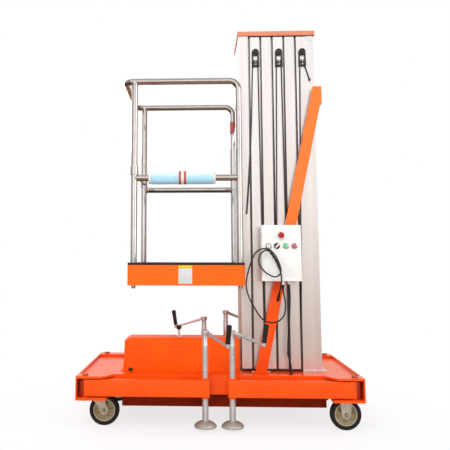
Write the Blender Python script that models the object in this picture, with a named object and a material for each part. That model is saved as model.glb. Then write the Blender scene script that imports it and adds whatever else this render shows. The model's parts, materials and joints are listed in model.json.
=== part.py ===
"""Push-around vertical mast lift with a one-person platform.

Metres, +Z up.  X runs along the machine with the platform at -X and the mast at +X,
Y runs across it, and the origin is on the floor under the middle of the base.
The machine stands on its four castors with the jack pads held clear of the floor.
"""
from math import cos, pi, radians, sin

import bmesh
import bpy
from mathutils import Matrix, Vector

SEAT_GAP = 0.0003          # between faces that rest on each other
RUN_GAP = 0.0006           # around a rod, a pin or a sliding tongue

# Base frame: a folded tray with an ear at each corner
BASE_LENGTH = 1.352
FRAME_WIDTH = 0.662
FRAME_WALL = 0.006
WHEEL_R = 0.0735
WALL_ABOVE_WHEEL = 0.013
WALL_HEIGHT = 0.078        # from the side wall's lower edge up to the deck
RIM_HEIGHT = 0.013
DECK_THICK = 0.006
EAR_DROP = 0.0195          # of the ears below the side walls
EAR_REACH = 0.074
EAR_LENGTH = 0.146
EAR_TOP_THICK = 0.010
EAR_BOTTOM_THICK = 0.012
EAR_BEVEL = 0.026
CASTOR_NOTCH = (0.060, 0.021)   # half length, and reach outside the wall, of the ears' notches
CROSS_HALF_WIDTH = 0.045
CROSS_RELIEF = (0.020, 0.150)   # half sizes of the opening under a cross-member
EAR_GUSSET = 0.024
PIN_HEAD = (0.006, 0.007)  # of the pivot pins below and above the ears
PLATE_BITE = 0.002         # by which welded plates run into each other

# Castors
TYRE_WIDTH = 0.038
TYRE_THICK = 0.0195
TYRE_SIDES = 26            # leaves a flat of the tread on the floor
TYRE_SHOULDER = (0.007, 0.009)     # down from the tread, and in from the side
TYRE_BEAD_INSET = 0.003
HUB_RIM_INSET = 0.004          # of the rim behind the tyre's sides
HUB_BOSS_INSET = 0.0015
HUB_WEB = 0.012
HUB_BOSS_R = 0.017
HUB_LIP = 0.006
HUB_HOLE_R = 0.0065
AXLE_R = 0.006
FORK_PLATE = 0.0035
FORK_SIDE_GAP = 0.002
FORK_END_R = 0.0195
FORK_HALF_LENGTH = 0.0285
FORK_CROWN = 0.006
CROWN_ABOVE_WHEEL = 0.009
AXLE_HEAD = 0.004
AXLE_HEAD_R = 0.0093
RACE_HEIGHT = 0.016
SWIVEL_INSET = 0.087       # from the base's end
SWIVEL_INBOARD = 0.059     # from the side wall's outer face
SWIVEL_TRAIL = 0.034
SWIVEL_RACE_R = 0.032
SWIVEL_RACE_LIP = 0.006
RIGID_INSET = 0.076
RIGID_INBOARD = 0.018
RIGID_FLANGE = (0.042, 0.060, 0.010, 0.005)   # half length, inner and outer reach, thickness

# Swing-out arms and their screw jacks
ARM_PIVOT_INSET = 0.040
ARM_OUT = 0.039            # of the arm's middle from the side wall
ARM_WIDTH = 0.055
ARM_HEIGHT = 0.0785
ARM_WALL = 0.004
ARM_SOLID = 0.008              # of the arm left beside its pivot bush
ARM_END_X = 0.044
ARM_CLEARANCE = 0.005      # between the arm and the lower ear plate
PIVOT_PIN_R = 0.010
PIVOT_BUSH_R = 0.020
JACK_FROM_END = 0.020
JACK_R = 0.015
JACK_NECK_R = 0.013
JACK_SLEEVE_R = 0.0195
JACK_COLLAR = 0.008
PAD_R = 0.053
PAD_BOTTOM_Z = 0.019
PAD_RIM = 0.008
PAD_CONE = 0.038
PAD_DISH = (0.010, 0.004)      # in from the pad's edge, and up from its rim
PAD_THROAT = 0.010             # of the cone, outside the tube and below its top
JACK_NECK_DROPS = (0.065, 0.062, 0.018)    # below the head's top: shoulder, neck, head
HEAD_Z = 0.465
HEAD_R = 0.018
CRANK_LENGTH = 0.165
CRANK_DROP = 0.050
CRANK_WIDTH = 0.025
CRANK_THICK = 0.008
GRIP_R = 0.0115
GRIP_LENGTH = 0.085
GRIP_LEAN = 0.16
GRIP_STUB = (0.6, 0.72)        # length and radius of the stub, as shares of the grip's radius
GRIP_FLARE = 1.08
CRANKS = {                  # corner: crank heading in degrees from +X, extra height
    "front_left": (-52.0, 0.0),
    "front_right": (-30.0, 0.0),
    "rear_left": (180.0, 0.0),
    "rear_right": (52.0, 0.037),
}

# Pan under the deck
PAN_INSETS = (0.208, 0.158)    # from the base's two ends
PAN_INBOARD = 0.046
PAN_DROP = 0.066           # below the side walls
PAN_WALL = 0.004

# Power unit cover
HOOD_INSET = 0.196
HOOD_MAST_GAP = 0.010
HOOD_Y = (-0.165, 0.030)
HOOD_HEIGHT = 0.163
HOOD_DRAFT = 0.012
HOOD_FLANGE = 0.003
HOOD_FLANGE_REACH = 0.012
HOOD_CORNER = 0.014
HOOD_KNOB_XY = (-0.198, -0.070)
HOOD_KNOB_HEIGHT = 0.058
KNOB_FLANGE = (0.020, 0.004)
KNOB_STEM = (0.007, 0.007)     # radius and height of its foot
KNOB_CAP = ((0.006, 0.022), (0.0125, 0.018), (0.014, 0.006), (0.011, 0.0))     # radius, drop from the top

# Mast: six aluminium extrusions side by side, the platform's first
MAST_X = 0.125
SECTION_PITCH = 0.0612
SECTION_DEPTH = 0.050
FIXED_DEPTH = 0.094
SECTION_HALF_WIDTH = 0.157
SECTION_WALL = 0.004
SECTION_COUNT = 6
FOOT_THICK = 0.010
FOOT_REACH = (0.002, 0.020, 0.012)   # towards the platform, away from it, sideways
FOOT_DRAIN = (0.030, 0.015, 0.080)   # insets and half width of the hole through the foot
MOVING_CLEARANCE = 0.0155
MAST_HEIGHT = 1.7477       # above the deck
SLOT_INSET = 0.057         # from the section's sides
SLOT_LIP = 0.005
TONGUE_NECK = 0.010
TONGUE_HEAD = 0.026
TONGUE_THICK = 0.007
SLOT_BACK_WALL = 0.0035
CAP_CLEARANCE = 0.0053
CAP_HEIGHT = 0.027
CAP_OVERHANG = 0.006
CAP_SHEET = 0.003
CAP_EDGE = 0.004
CAP_SEAT = 0.002           # of the solid end past the section that carries it

# Braces and the control box that they carry
BRACE_GAP = 0.021          # from the mast's sides
BRACE_THICK = 0.025
BRACE_WIDTH = 0.055
BRACE_FOOT_X = 0.215
BRACE_HEAD_X = 0.536
BRACE_TOP_DROP = 0.2857    # below the sections' tops
BRACE_PAD = (0.018, 0.012, 0.004, 0.008)   # end, outer and inner reach, thickness
BRACE_CROSS_THICK = 0.026
BRACE_CROSS_HEIGHT = 0.093
BOX_X = (0.220, 0.414)
BOX_LIFT = 0.456           # above the deck
BOX_HEIGHT = 0.2765
BOX_DEPTH = 0.087
BOX_CORNER = 0.006
CONTROLS = {                # name: from the box's left edge and top, radius, reach, flange radius
    "emergency_stop": (0.0945, 0.0505, 0.0150, 0.026, 0.0115),
    "key_switch": (0.0335, 0.1035, 0.0105, 0.012, 0.0145),
    "selector_switch": (0.0745, 0.1035, 0.0105, 0.018, 0.0145),
    "green_button": (0.1185, 0.1035, 0.0110, 0.011, 0.0145),
    "red_button": (0.1600, 0.1035, 0.0110, 0.013, 0.0145),
}
BEZEL = (0.003, 0.005)     # height of a control's flange, and of its neck
MUSHROOM = (0.014, 0.012, 0.008, 0.003)    # drops of the stop button's neck, underside, edge and crown
MUSHROOM_EDGE = 0.002

# Cable sheaves on the front edges of the sections
SHEAVE_INSETS = {           # section that carries it: from that section's platform side
    1: 0.0310,
    3: 0.0294,
    5: 0.0283,
}
SHEAVE_TOP_DROP = 0.0657   # below the sections' tops
SHEAVE_HEIGHT = 0.100
SHEAVE_WIDTH = 0.040
SHEAVE_PLATE = 0.006
SHEAVE_WHEEL = 0.012
SHEAVE_WHEEL_R = 0.0172
SHEAVE_CHEEK = (0.011, 0.019, 0.012, 0.004)    # lower half width, upper radius, lift, thickness
SHEAVE_CLAMP = (0.019, 0.004, 0.030, 0.002)    # half width, lower and upper lift, bevel
STRAND_ANCHOR = (0.0365, 0.172)    # beside the fixed sheave's middle, and below its top
STRAND_ANCHOR_R = 0.0065
STRAND_R = 0.004
STRAND_SPREAD = 0.0165
STRAND_LIFT = 0.062        # above the deck

# Platform
PLATFORM_LENGTH = 0.579
PLATFORM_PAST_MAST = 0.009
PLATFORM_HALF_WIDTH = 0.320
PLATFORM_LIFT = 0.5465     # of the mat's top above the base's deck
PLATFORM_DEPTH = 0.112
SKIRT_SHEET = 0.003
MAT_THICK = 0.012
NOTCH_SIDE_GAP = 0.005     # to the mast's sides
NOTCH_END_GAP = 0.003      # to the carriage
PLATFORM_CORNER = 0.010
POST_INSETS = (0.028, 0.021)   # from the platform's two ends
POST_SIDE_INSET = 0.030
TUBE_R = 0.016
POST_FOOT_R = 0.010
POST_FOOT = 0.015
TOP_RAIL_HEIGHT = 0.9245
MID_RAIL_HEIGHT = 0.4245
RAIL_END_REACH = 0.019
RAIL_BEND_R = 0.045
PAD_FROM_POST = 0.073
PAD_LENGTH = 0.338
PAD_ROLL_R = 0.033
BAR_R = 0.0125
SLEEVE_R = 0.0195
SLEEVE_HEIGHT = 0.0444
CARRIAGE_INSET = 0.037     # from the mast's sides
CARRIAGE_BAR = 0.040
CARRIAGE_THICK = 0.020
CARRIAGE_HEIGHT = 0.7155   # above the mat
CARRIAGE_ARM_HEIGHT = 0.030
CARRIAGE_ARM_INSET = 0.045
CARRIAGE_TIE_HEIGHTS = (0.035, 0.048)
CARRIAGE_TIE_STEP = 0.002
CARRIAGE_TAIL = 0.040          # of the uprights below the arms
CARRIAGE_TIE_LAP = 0.010

# Cables
FEED_R = 0.0045
CORD_R = 0.0035
GLAND_R = 0.009
GLAND_LENGTH = 0.018
PLUG_R = 0.011
PLUG_LENGTH = 0.050
FEED_X = 0.3606
FEED_BEHIND_FACE = 0.013   # from the box's back
FEED_SWAY = (               # along, outwards, and above the deck
    (0.002, 0.000, 0.362), (-0.006, 0.006, 0.232), (-0.012, 0.004, 0.112), (0.000, 0.000, 0.037))
FEED_TAIL = 0.004          # below the deck plate
FEED_STEP = 8.0            # spacing of the tube's rings, in radii
CORD_STEP = 6.0
CORD_EXIT = (0.3230, -0.2700)

HALF_LENGTH = BASE_LENGTH / 2
WALL_Y = FRAME_WIDTH / 2
HALF_WIDTH = WALL_Y + EAR_REACH
WALL_BOTTOM_Z = 2 * WHEEL_R + WALL_ABOVE_WHEEL
DECK_Z = WALL_BOTTOM_Z + WALL_HEIGHT
RIM_TOP_Z = DECK_Z + RIM_HEIGHT
EAR_BOTTOM_Z = WALL_BOTTOM_Z - EAR_DROP
EAR_TOP_Z = RIM_TOP_Z - EAR_TOP_THICK
EAR_FLOOR_Z = EAR_BOTTOM_Z + EAR_BOTTOM_THICK
ARM_BOTTOM_Z = EAR_FLOOR_Z + ARM_CLEARANCE
ARM_TOP_Z = ARM_BOTTOM_Z + ARM_HEIGHT
FORK_CROWN_Z = 2 * WHEEL_R + CROWN_ABOVE_WHEEL
FORK_RACE_TOP_Z = FORK_CROWN_Z + RACE_HEIGHT
SWIVEL_BEAM_Z = FORK_RACE_TOP_Z + RACE_HEIGHT
SWIVEL_X = SWIVEL_INSET - HALF_LENGTH
SWIVEL_Y = WALL_Y - SWIVEL_INBOARD
RIGID_X = HALF_LENGTH - RIGID_INSET
RIGID_Y = WALL_Y - RIGID_INBOARD
ARM_PIVOT_X = HALF_LENGTH - ARM_PIVOT_INSET
ARM_Y = WALL_Y + ARM_OUT
JACK_X = ARM_END_X + JACK_FROM_END
PAN_X = (PAN_INSETS[0] - HALF_LENGTH, HALF_LENGTH - PAN_INSETS[1])
PAN_HALF_WIDTH = WALL_Y - PAN_INBOARD
PAN_BOTTOM_Z = WALL_BOTTOM_Z - PAN_DROP
HOOD_X = (HOOD_INSET - HALF_LENGTH, MAST_X - HOOD_MAST_GAP)
HOOD_TOP_Z = DECK_Z + HOOD_HEIGHT
HOOD_KNOB_TOP_Z = HOOD_TOP_Z + HOOD_KNOB_HEIGHT
MOVING_BOTTOM_Z = DECK_Z + MOVING_CLEARANCE
SECTION_TOP_Z = DECK_Z + MAST_HEIGHT
SLOT_Y = SECTION_HALF_WIDTH - SLOT_INSET
CAP_BOTTOM_Z = SECTION_TOP_Z + CAP_CLEARANCE
CAP_TOP_Z = CAP_BOTTOM_Z + CAP_HEIGHT
BRACE_FACE_Y = SECTION_HALF_WIDTH + BRACE_GAP
BRACE_TOP_Z = SECTION_TOP_Z - BRACE_TOP_DROP
BOX_Z = (DECK_Z + BOX_LIFT, DECK_Z + BOX_LIFT + BOX_HEIGHT)
SHEAVE_Z = (SECTION_TOP_Z - SHEAVE_TOP_DROP - SHEAVE_HEIGHT, SECTION_TOP_Z - SHEAVE_TOP_DROP)
STRAND_BOTTOM_Z = DECK_Z + STRAND_LIFT
PLATFORM_X = (MAST_X + PLATFORM_PAST_MAST - PLATFORM_LENGTH, MAST_X + PLATFORM_PAST_MAST)
MAT_TOP_Z = DECK_Z + PLATFORM_LIFT
SKIRT_BOTTOM_Z = MAT_TOP_Z - PLATFORM_DEPTH
NOTCH_HALF_WIDTH = SECTION_HALF_WIDTH + NOTCH_SIDE_GAP
NOTCH_X = MAST_X - SEAT_GAP - CARRIAGE_THICK - NOTCH_END_GAP
POST_LEFT_X = PLATFORM_X[0] + POST_INSETS[0]
POST_RIGHT_X = PLATFORM_X[1] - POST_INSETS[1]
POST_Y = PLATFORM_HALF_WIDTH - POST_SIDE_INSET
TOP_RAIL_Z = MAT_TOP_Z + TOP_RAIL_HEIGHT
MID_RAIL_Z = MAT_TOP_Z + MID_RAIL_HEIGHT
RAIL_END_X = PLATFORM_X[0] - RAIL_END_REACH
PAD_X = (POST_LEFT_X + PAD_FROM_POST, POST_LEFT_X + PAD_FROM_POST + PAD_LENGTH)
SLEEVE_BOTTOM_Z = MID_RAIL_Z + TUBE_R + RUN_GAP
CARRIAGE_Y = SECTION_HALF_WIDTH - CARRIAGE_INSET
CARRIAGE_TOP_Z = MAT_TOP_Z + CARRIAGE_HEIGHT
CARRIAGE_REACH_X = PLATFORM_X[0] + CARRIAGE_ARM_INSET
FEED_Y = BRACE_FACE_Y + BRACE_THICK + FEED_BEHIND_FACE
CORNERS = {
    "front_left": (-1, -1),
    "front_right": (1, -1),
    "rear_left": (-1, 1),
    "rear_right": (1, 1),
}


def clear_scene():
    """Removes every object, so that the file holds the lift alone."""
    for old in list(bpy.data.objects):
        bpy.data.objects.remove(old, do_unlink=True)


def material(name, red, green, blue, roughness, metallic=0.0):
    """A Principled surface of one colour, given in linear light."""
    surface = bpy.data.materials.new(name)
    surface.use_nodes = True
    shader = surface.node_tree.nodes["Principled BSDF"]
    shader.inputs["Base Color"].default_value = (red, green, blue, 1.0)
    shader.inputs["Roughness"].default_value = roughness
    shader.inputs["Metallic"].default_value = metallic
    surface.diffuse_color = (red, green, blue, 1.0)
    return surface


def mesh_from(bm, name="shape"):
    """Turns a bmesh into a mesh whose faces all point out."""
    bmesh.ops.recalc_face_normals(bm, faces=bm.faces)
    if bm.calc_volume(signed=True) < 0.0:
        bmesh.ops.reverse_faces(bm, faces=bm.faces)
    mesh = bpy.data.meshes.new(name)
    bm.to_mesh(mesh)
    bm.free()
    return mesh


def block(x_span, y_span, z_span, bevel=0.0, vertical_only=False):
    """A box between three pairs of limits, with its edges or uprights rounded."""
    bm = bmesh.new()
    bmesh.ops.create_cube(bm, size=1.0)
    low = Vector((x_span[0], y_span[0], z_span[0]))
    high = Vector((x_span[1], y_span[1], z_span[1]))
    for vertex in bm.verts:
        vertex.co = Vector(low[i] + (vertex.co[i] + 0.5) * (high[i] - low[i]) for i in range(3))
    if bevel:
        edges = [e for e in bm.edges if not vertical_only
                 or abs(e.verts[0].co.z - e.verts[1].co.z) > 1e-6]
        bmesh.ops.bevel(bm, geom=edges, offset=bevel, segments=2, affect="EDGES", profile=0.5)
    return mesh_from(bm)


def prism(outline, low, high, axis="Z", holes=()):
    """Extrudes a plane outline, with holes, between two heights along an axis.

    Along Z the outline's pairs are x and y, along Y they are x and z, along X y and z.
    """
    bm = bmesh.new()
    edges = []
    for loop in (outline, *holes):
        verts = [bm.verts.new((a, b, low)) for a, b in loop]
        edges += [bm.edges.new((verts[i - 1], verts[i])) for i in range(len(verts))]
    bmesh.ops.triangle_fill(bm, use_beauty=True, use_dissolve=False, edges=edges)
    grown = bmesh.ops.extrude_face_region(bm, geom=list(bm.faces))
    moved = [item for item in grown["geom"] if isinstance(item, bmesh.types.BMVert)]
    bmesh.ops.translate(bm, vec=(0.0, 0.0, high - low), verts=moved)
    if axis == "Y":
        bm.transform(Matrix(((1, 0, 0, 0), (0, 0, 1, 0), (0, 1, 0, 0), (0, 0, 0, 1))))
    if axis == "X":
        bm.transform(Matrix(((0, 0, 1, 0), (1, 0, 0, 0), (0, 1, 0, 0), (0, 0, 0, 1))))
    return mesh_from(bm)


def turned(profile, centre, axis="Z", sides=24):
    """Turns a closed outline of (radius, height) pairs about an axis through a point."""
    bm = bmesh.new()
    verts = [bm.verts.new((radius, 0.0, height)) for radius, height in profile]
    ring = [bm.edges.new((verts[i - 1], verts[i])) for i in range(len(verts))
            if profile[i - 1][0] or profile[i][0]]
    bmesh.ops.spin(bm, geom=verts + ring, cent=(0, 0, 0), axis=(0, 0, 1), angle=2 * pi,
                   steps=sides, use_merge=True)
    bmesh.ops.remove_doubles(bm, verts=bm.verts, dist=1e-6)
    bmesh.ops.dissolve_degenerate(bm, dist=1e-7, edges=bm.edges)
    if axis == "Y":
        bm.transform(Matrix.Rotation(pi / 2, 4, "X"))
    if axis == "X":
        bm.transform(Matrix.Rotation(pi / 2, 4, "Y"))
    bm.transform(Matrix.Translation(centre))
    return mesh_from(bm)


def rod(start, end, radius, sides=16, end_radius=None):
    """A round bar, or a cone, between two points."""
    start = Vector(start)
    way = Vector(end) - start
    bm = bmesh.new()
    bmesh.ops.create_cone(bm, cap_ends=True, segments=sides, radius1=radius,
                          radius2=radius if end_radius is None else end_radius,
                          depth=way.length)
    turn = way.to_track_quat("Z", "Y").to_matrix().to_4x4()
    bm.transform(Matrix.Translation(start + way / 2) @ turn)
    return mesh_from(bm)


def bent_tube(points, radius, resolution=4):
    """A round tube, closed at its ends, along a chain of points."""
    curve = bpy.data.curves.new("path", "CURVE")
    curve.dimensions = "3D"
    curve.bevel_depth = radius
    curve.bevel_resolution = resolution
    curve.use_fill_caps = True
    curve.resolution_u = 1
    curve.render_resolution_u = 0
    spline = curve.splines.new("POLY")
    spline.points.add(len(points) - 1)
    for point, place in zip(spline.points, points):
        point.co = (*place, 1.0)
    holder = bpy.data.objects.new("path", curve)
    bpy.context.scene.collection.objects.link(holder)
    mesh = bpy.data.meshes.new_from_object(
        holder.evaluated_get(bpy.context.evaluated_depsgraph_get()))
    bpy.data.objects.remove(holder)
    bm = bmesh.new()
    bm.from_mesh(mesh)
    bmesh.ops.remove_doubles(bm, verts=bm.verts, dist=1e-6)
    return mesh_from(bm)


def rounded_path(points, radius, steps=4):
    """Replaces each inner corner of a chain of points by an arc of one radius."""
    points = [Vector(p) for p in points]
    path = [points[0]]
    for before, corner, after in zip(points, points[1:], points[2:]):
        back = (before - corner).normalized()
        on = (after - corner).normalized()
        half = back.angle(on) / 2
        centre = corner + (back + on).normalized() * radius / sin(half)
        first = (corner + back * radius * cos(half) / sin(half) - centre).normalized()
        last = (corner + on * radius * cos(half) / sin(half) - centre).normalized()
        for step in range(steps + 1):
            path.append(centre + first.slerp(last, step / steps) * radius)
    return path + [points[-1]]


def smooth_route(points, spacing):
    """Points at an even spacing along a smooth curve through the route's own points."""
    points = [Vector(p) for p in points]
    ends = [2 * points[0] - points[1], *points, 2 * points[-1] - points[-2]]
    fine = []
    for a, b, c, d in zip(ends, ends[1:], ends[2:], ends[3:]):
        for step in range(24):
            t = step / 24
            fine.append(0.5 * (2 * b + (c - a) * t + (2 * a - 5 * b + 4 * c - d) * t * t
                               + (3 * b - a - 3 * c + d) * t ** 3))
    fine.append(points[-1])
    total = sum((q - p).length for p, q in zip(fine, fine[1:]))
    count = max(2, round(total / spacing))
    route = [fine[0]]
    walked = 0.0
    for p, q in zip(fine, fine[1:]):
        step = (q - p).length
        while step and walked + step >= len(route) * total / count - 1e-9:
            route.append(p.lerp(q, (len(route) * total / count - walked) / step))
            if len(route) > count:
                return route
        walked += step
    return route


def combined(start, add=(), cut=()):
    """Joins and cuts closed meshes with exact Booleans and returns the result."""
    body = bpy.data.objects.new("work", start)
    bpy.context.scene.collection.objects.link(body)
    helpers = []
    for operation, meshes in (("UNION", add), ("DIFFERENCE", cut)):
        for mesh in meshes:
            tool = bpy.data.objects.new("tool", mesh)
            bpy.context.scene.collection.objects.link(tool)
            helpers.append(tool)
            step = body.modifiers.new("step", "BOOLEAN")
            step.operation = operation
            step.object = tool
            step.solver = "EXACT"
    result = bpy.data.meshes.new_from_object(
        body.evaluated_get(bpy.context.evaluated_depsgraph_get()))
    for item in (body, *helpers):
        bpy.data.objects.remove(item)
    return result


def node(name, mesh, surface, body=None):
    """Places a mesh drawn in world coordinates as an object carried by a body's empty."""
    thing = bpy.data.objects.new(name, mesh)
    bpy.context.scene.collection.objects.link(thing)
    mesh.name = name
    if body is not None:
        mesh.transform(Matrix.Translation(-body.matrix_world.translation))
        thing.parent = body
    mesh.materials.clear()
    mesh.materials.append(surface)
    mesh.shade_smooth()
    mesh.set_sharp_from_angle(angle=radians(32))
    return thing


def axis_empty(name, place, parent=None):
    """An empty on a joint's axis, which carries what turns or slides there."""
    empty = bpy.data.objects.new(name, None)
    bpy.context.scene.collection.objects.link(empty)
    empty.empty_display_size = 0.05
    if parent is not None:
        empty.parent = parent
        empty.location = Vector(place) - parent.matrix_world.translation
    else:
        empty.location = place
    bpy.context.view_layer.update()
    return empty


def mirrored(points, sign_x, sign_y):
    """Flips a plane outline into another quarter of the machine."""
    return [(x * sign_x, y * sign_y) for x, y in points]


def span(a, b):
    """Two limits in rising order."""
    return (min(a, b), max(a, b))


def make_base_frame(paint):
    """Tray with a deck plate, castor cross-members and four ears with pivot pins."""
    inner_x = HALF_LENGTH - FRAME_WALL
    inner_y = WALL_Y - FRAME_WALL
    tray = block((-HALF_LENGTH, HALF_LENGTH), (-WALL_Y, WALL_Y), (WALL_BOTTOM_Z, RIM_TOP_Z))
    above = block((-inner_x, inner_x), (-inner_y, inner_y), (DECK_Z, RIM_TOP_Z + 0.01))
    below = block((-inner_x, inner_x), (-inner_y, inner_y),
                  (WALL_BOTTOM_Z - 0.01, DECK_Z - DECK_THICK))
    pieces = []
    cuts = []
    for x_mid, bottom in ((SWIVEL_X, SWIVEL_BEAM_Z), (RIGID_X, WALL_BOTTOM_Z)):
        beam = block((x_mid - CROSS_HALF_WIDTH, x_mid + CROSS_HALF_WIDTH),
                     (-inner_y - PLATE_BITE, inner_y + PLATE_BITE),
                     (bottom, DECK_Z - DECK_THICK + PLATE_BITE))
        hollow = block((x_mid - CROSS_HALF_WIDTH + FRAME_WALL, x_mid + CROSS_HALF_WIDTH - FRAME_WALL),
                       (-inner_y, inner_y), (bottom + FRAME_WALL, DECK_Z - DECK_THICK))
        relief = block((x_mid - CROSS_RELIEF[0], x_mid + CROSS_RELIEF[0]),
                       (-CROSS_RELIEF[1], CROSS_RELIEF[1]),
                       (bottom - 0.01, bottom + FRAME_WALL + 0.01))
        pieces.append(combined(beam, cut=[hollow, relief]))
    for sx, sy in CORNERS.values():
        castor_x = SWIVEL_X if sx < 0 else RIGID_X
        inner_end = HALF_LENGTH - EAR_LENGTH
        plan = mirrored([(HALF_LENGTH, WALL_Y - FRAME_WALL), (HALF_LENGTH, HALF_WIDTH),
                         (inner_end + EAR_BEVEL, HALF_WIDTH), (inner_end, HALF_WIDTH - EAR_BEVEL),
                         (inner_end - EAR_BEVEL, WALL_Y), (inner_end - EAR_BEVEL, WALL_Y - FRAME_WALL)],
                        sx, sy)
        pieces.append(prism(plan, EAR_TOP_Z, RIM_TOP_Z))
        lower = mirrored([(HALF_LENGTH, WALL_Y - FRAME_WALL), (HALF_LENGTH, HALF_WIDTH),
                          (inner_end, HALF_WIDTH), (inner_end, WALL_Y - FRAME_WALL)], sx, sy)
        notch = block((castor_x - CASTOR_NOTCH[0], castor_x + CASTOR_NOTCH[0]),
                      span(sy * (WALL_Y - 2 * FRAME_WALL), sy * (WALL_Y + CASTOR_NOTCH[1])),
                      (EAR_BOTTOM_Z - 0.01, EAR_FLOOR_Z + 0.01))
        pieces.append(combined(prism(lower, EAR_BOTTOM_Z, EAR_FLOOR_Z), cut=[notch]))
        pieces.append(block(span(sx * (HALF_LENGTH - FRAME_WALL), sx * HALF_LENGTH),
                            span(sy * (WALL_Y - FRAME_WALL), sy * HALF_WIDTH),
                            (EAR_BOTTOM_Z, RIM_TOP_Z)))
        gusset = block(span(sx * (HALF_LENGTH - EAR_GUSSET), sx * HALF_LENGTH),
                       span(sy * (WALL_Y - FRAME_WALL), sy * WALL_Y),
                       (EAR_BOTTOM_Z, WALL_BOTTOM_Z + 0.01))
        pieces.append(gusset)
        pin_x, pin_y = sx * ARM_PIVOT_X, sy * ARM_Y
        pieces.append(rod((pin_x, pin_y, EAR_BOTTOM_Z - PIN_HEAD[0]),
                          (pin_x, pin_y, RIM_TOP_Z + PIN_HEAD[1]), PIVOT_PIN_R, sides=12))
    for sy in (-1, 1):
        pieces.append(rod((SWIVEL_X, sy * SWIVEL_Y, SWIVEL_BEAM_Z + 0.001),
                          (SWIVEL_X, sy * SWIVEL_Y, FORK_RACE_TOP_Z + SEAT_GAP),
                          SWIVEL_RACE_R))
    frame = combined(tray, cut=[above, below])
    cuts.append(rod((FEED_X, -FEED_Y, DECK_Z - 0.02), (FEED_X, -FEED_Y, DECK_Z + 0.01),
                    FEED_R + RUN_GAP, sides=16))
    node("base_frame", combined(frame, add=pieces, cut=cuts), paint)


def make_pan(paint):
    """Open-topped pan that hangs under the deck plate."""
    top = DECK_Z - DECK_THICK - SEAT_GAP
    shell = block(PAN_X, (-PAN_HALF_WIDTH, PAN_HALF_WIDTH), (PAN_BOTTOM_Z, top))
    hollow = block((PAN_X[0] + PAN_WALL, PAN_X[1] - PAN_WALL),
                   (-PAN_HALF_WIDTH + PAN_WALL, PAN_HALF_WIDTH - PAN_WALL),
                   (PAN_BOTTOM_Z + PAN_WALL, top + 0.01))
    node("underframe_pan", combined(shell, cut=[hollow]), paint)


def make_hood(paint, plastic):
    """Moulded cover with drafted sides, a bottom flange and a round knob on top."""
    base_z = DECK_Z + SEAT_GAP
    bm = bmesh.new()
    bmesh.ops.create_cube(bm, size=1.0)
    for vertex in bm.verts:
        draft = HOOD_DRAFT if vertex.co.z > 0 else 0.0
        side_x = 1 if vertex.co.x > 0 else 0
        side_y = 1 if vertex.co.y > 0 else 0
        vertex.co = Vector((HOOD_X[side_x] + (draft / 2 if side_x == 0 else 0.0),
                            HOOD_Y[side_y] + (draft if side_y == 0 else -draft),
                            HOOD_TOP_Z if vertex.co.z > 0 else base_z))
    upper = [e for e in bm.edges if max(v.co.z for v in e.verts) > base_z + 0.01]
    bmesh.ops.bevel(bm, geom=upper, offset=HOOD_CORNER, segments=3, affect="EDGES", profile=0.5)
    flange = block((HOOD_X[0] - HOOD_FLANGE_REACH, HOOD_X[1]),
                   (HOOD_Y[0] - HOOD_FLANGE_REACH, HOOD_Y[1] + HOOD_FLANGE_REACH),
                   (base_z, base_z + HOOD_FLANGE))
    node("power_unit_cover", combined(mesh_from(bm), add=[flange]), paint)
    x, y = HOOD_KNOB_XY
    z = HOOD_TOP_Z + SEAT_GAP
    top = HOOD_KNOB_TOP_Z
    flange_r, flange_top = KNOB_FLANGE
    foot_r, foot_top = KNOB_STEM
    profile = [(0.0, z), (flange_r, z), (flange_r, z + flange_top), (foot_r, z + foot_top)]
    profile += [(radius, top - drop) for radius, drop in KNOB_CAP] + [(0.0, top)]
    node("cover_knob", turned(profile, (x, y, 0.0), sides=12), plastic)


def section_left(index):
    """The X of a mast section's platform-side face; section 1 is the fixed one."""
    return MAST_X + (SECTION_COUNT - index) * SECTION_PITCH


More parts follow.
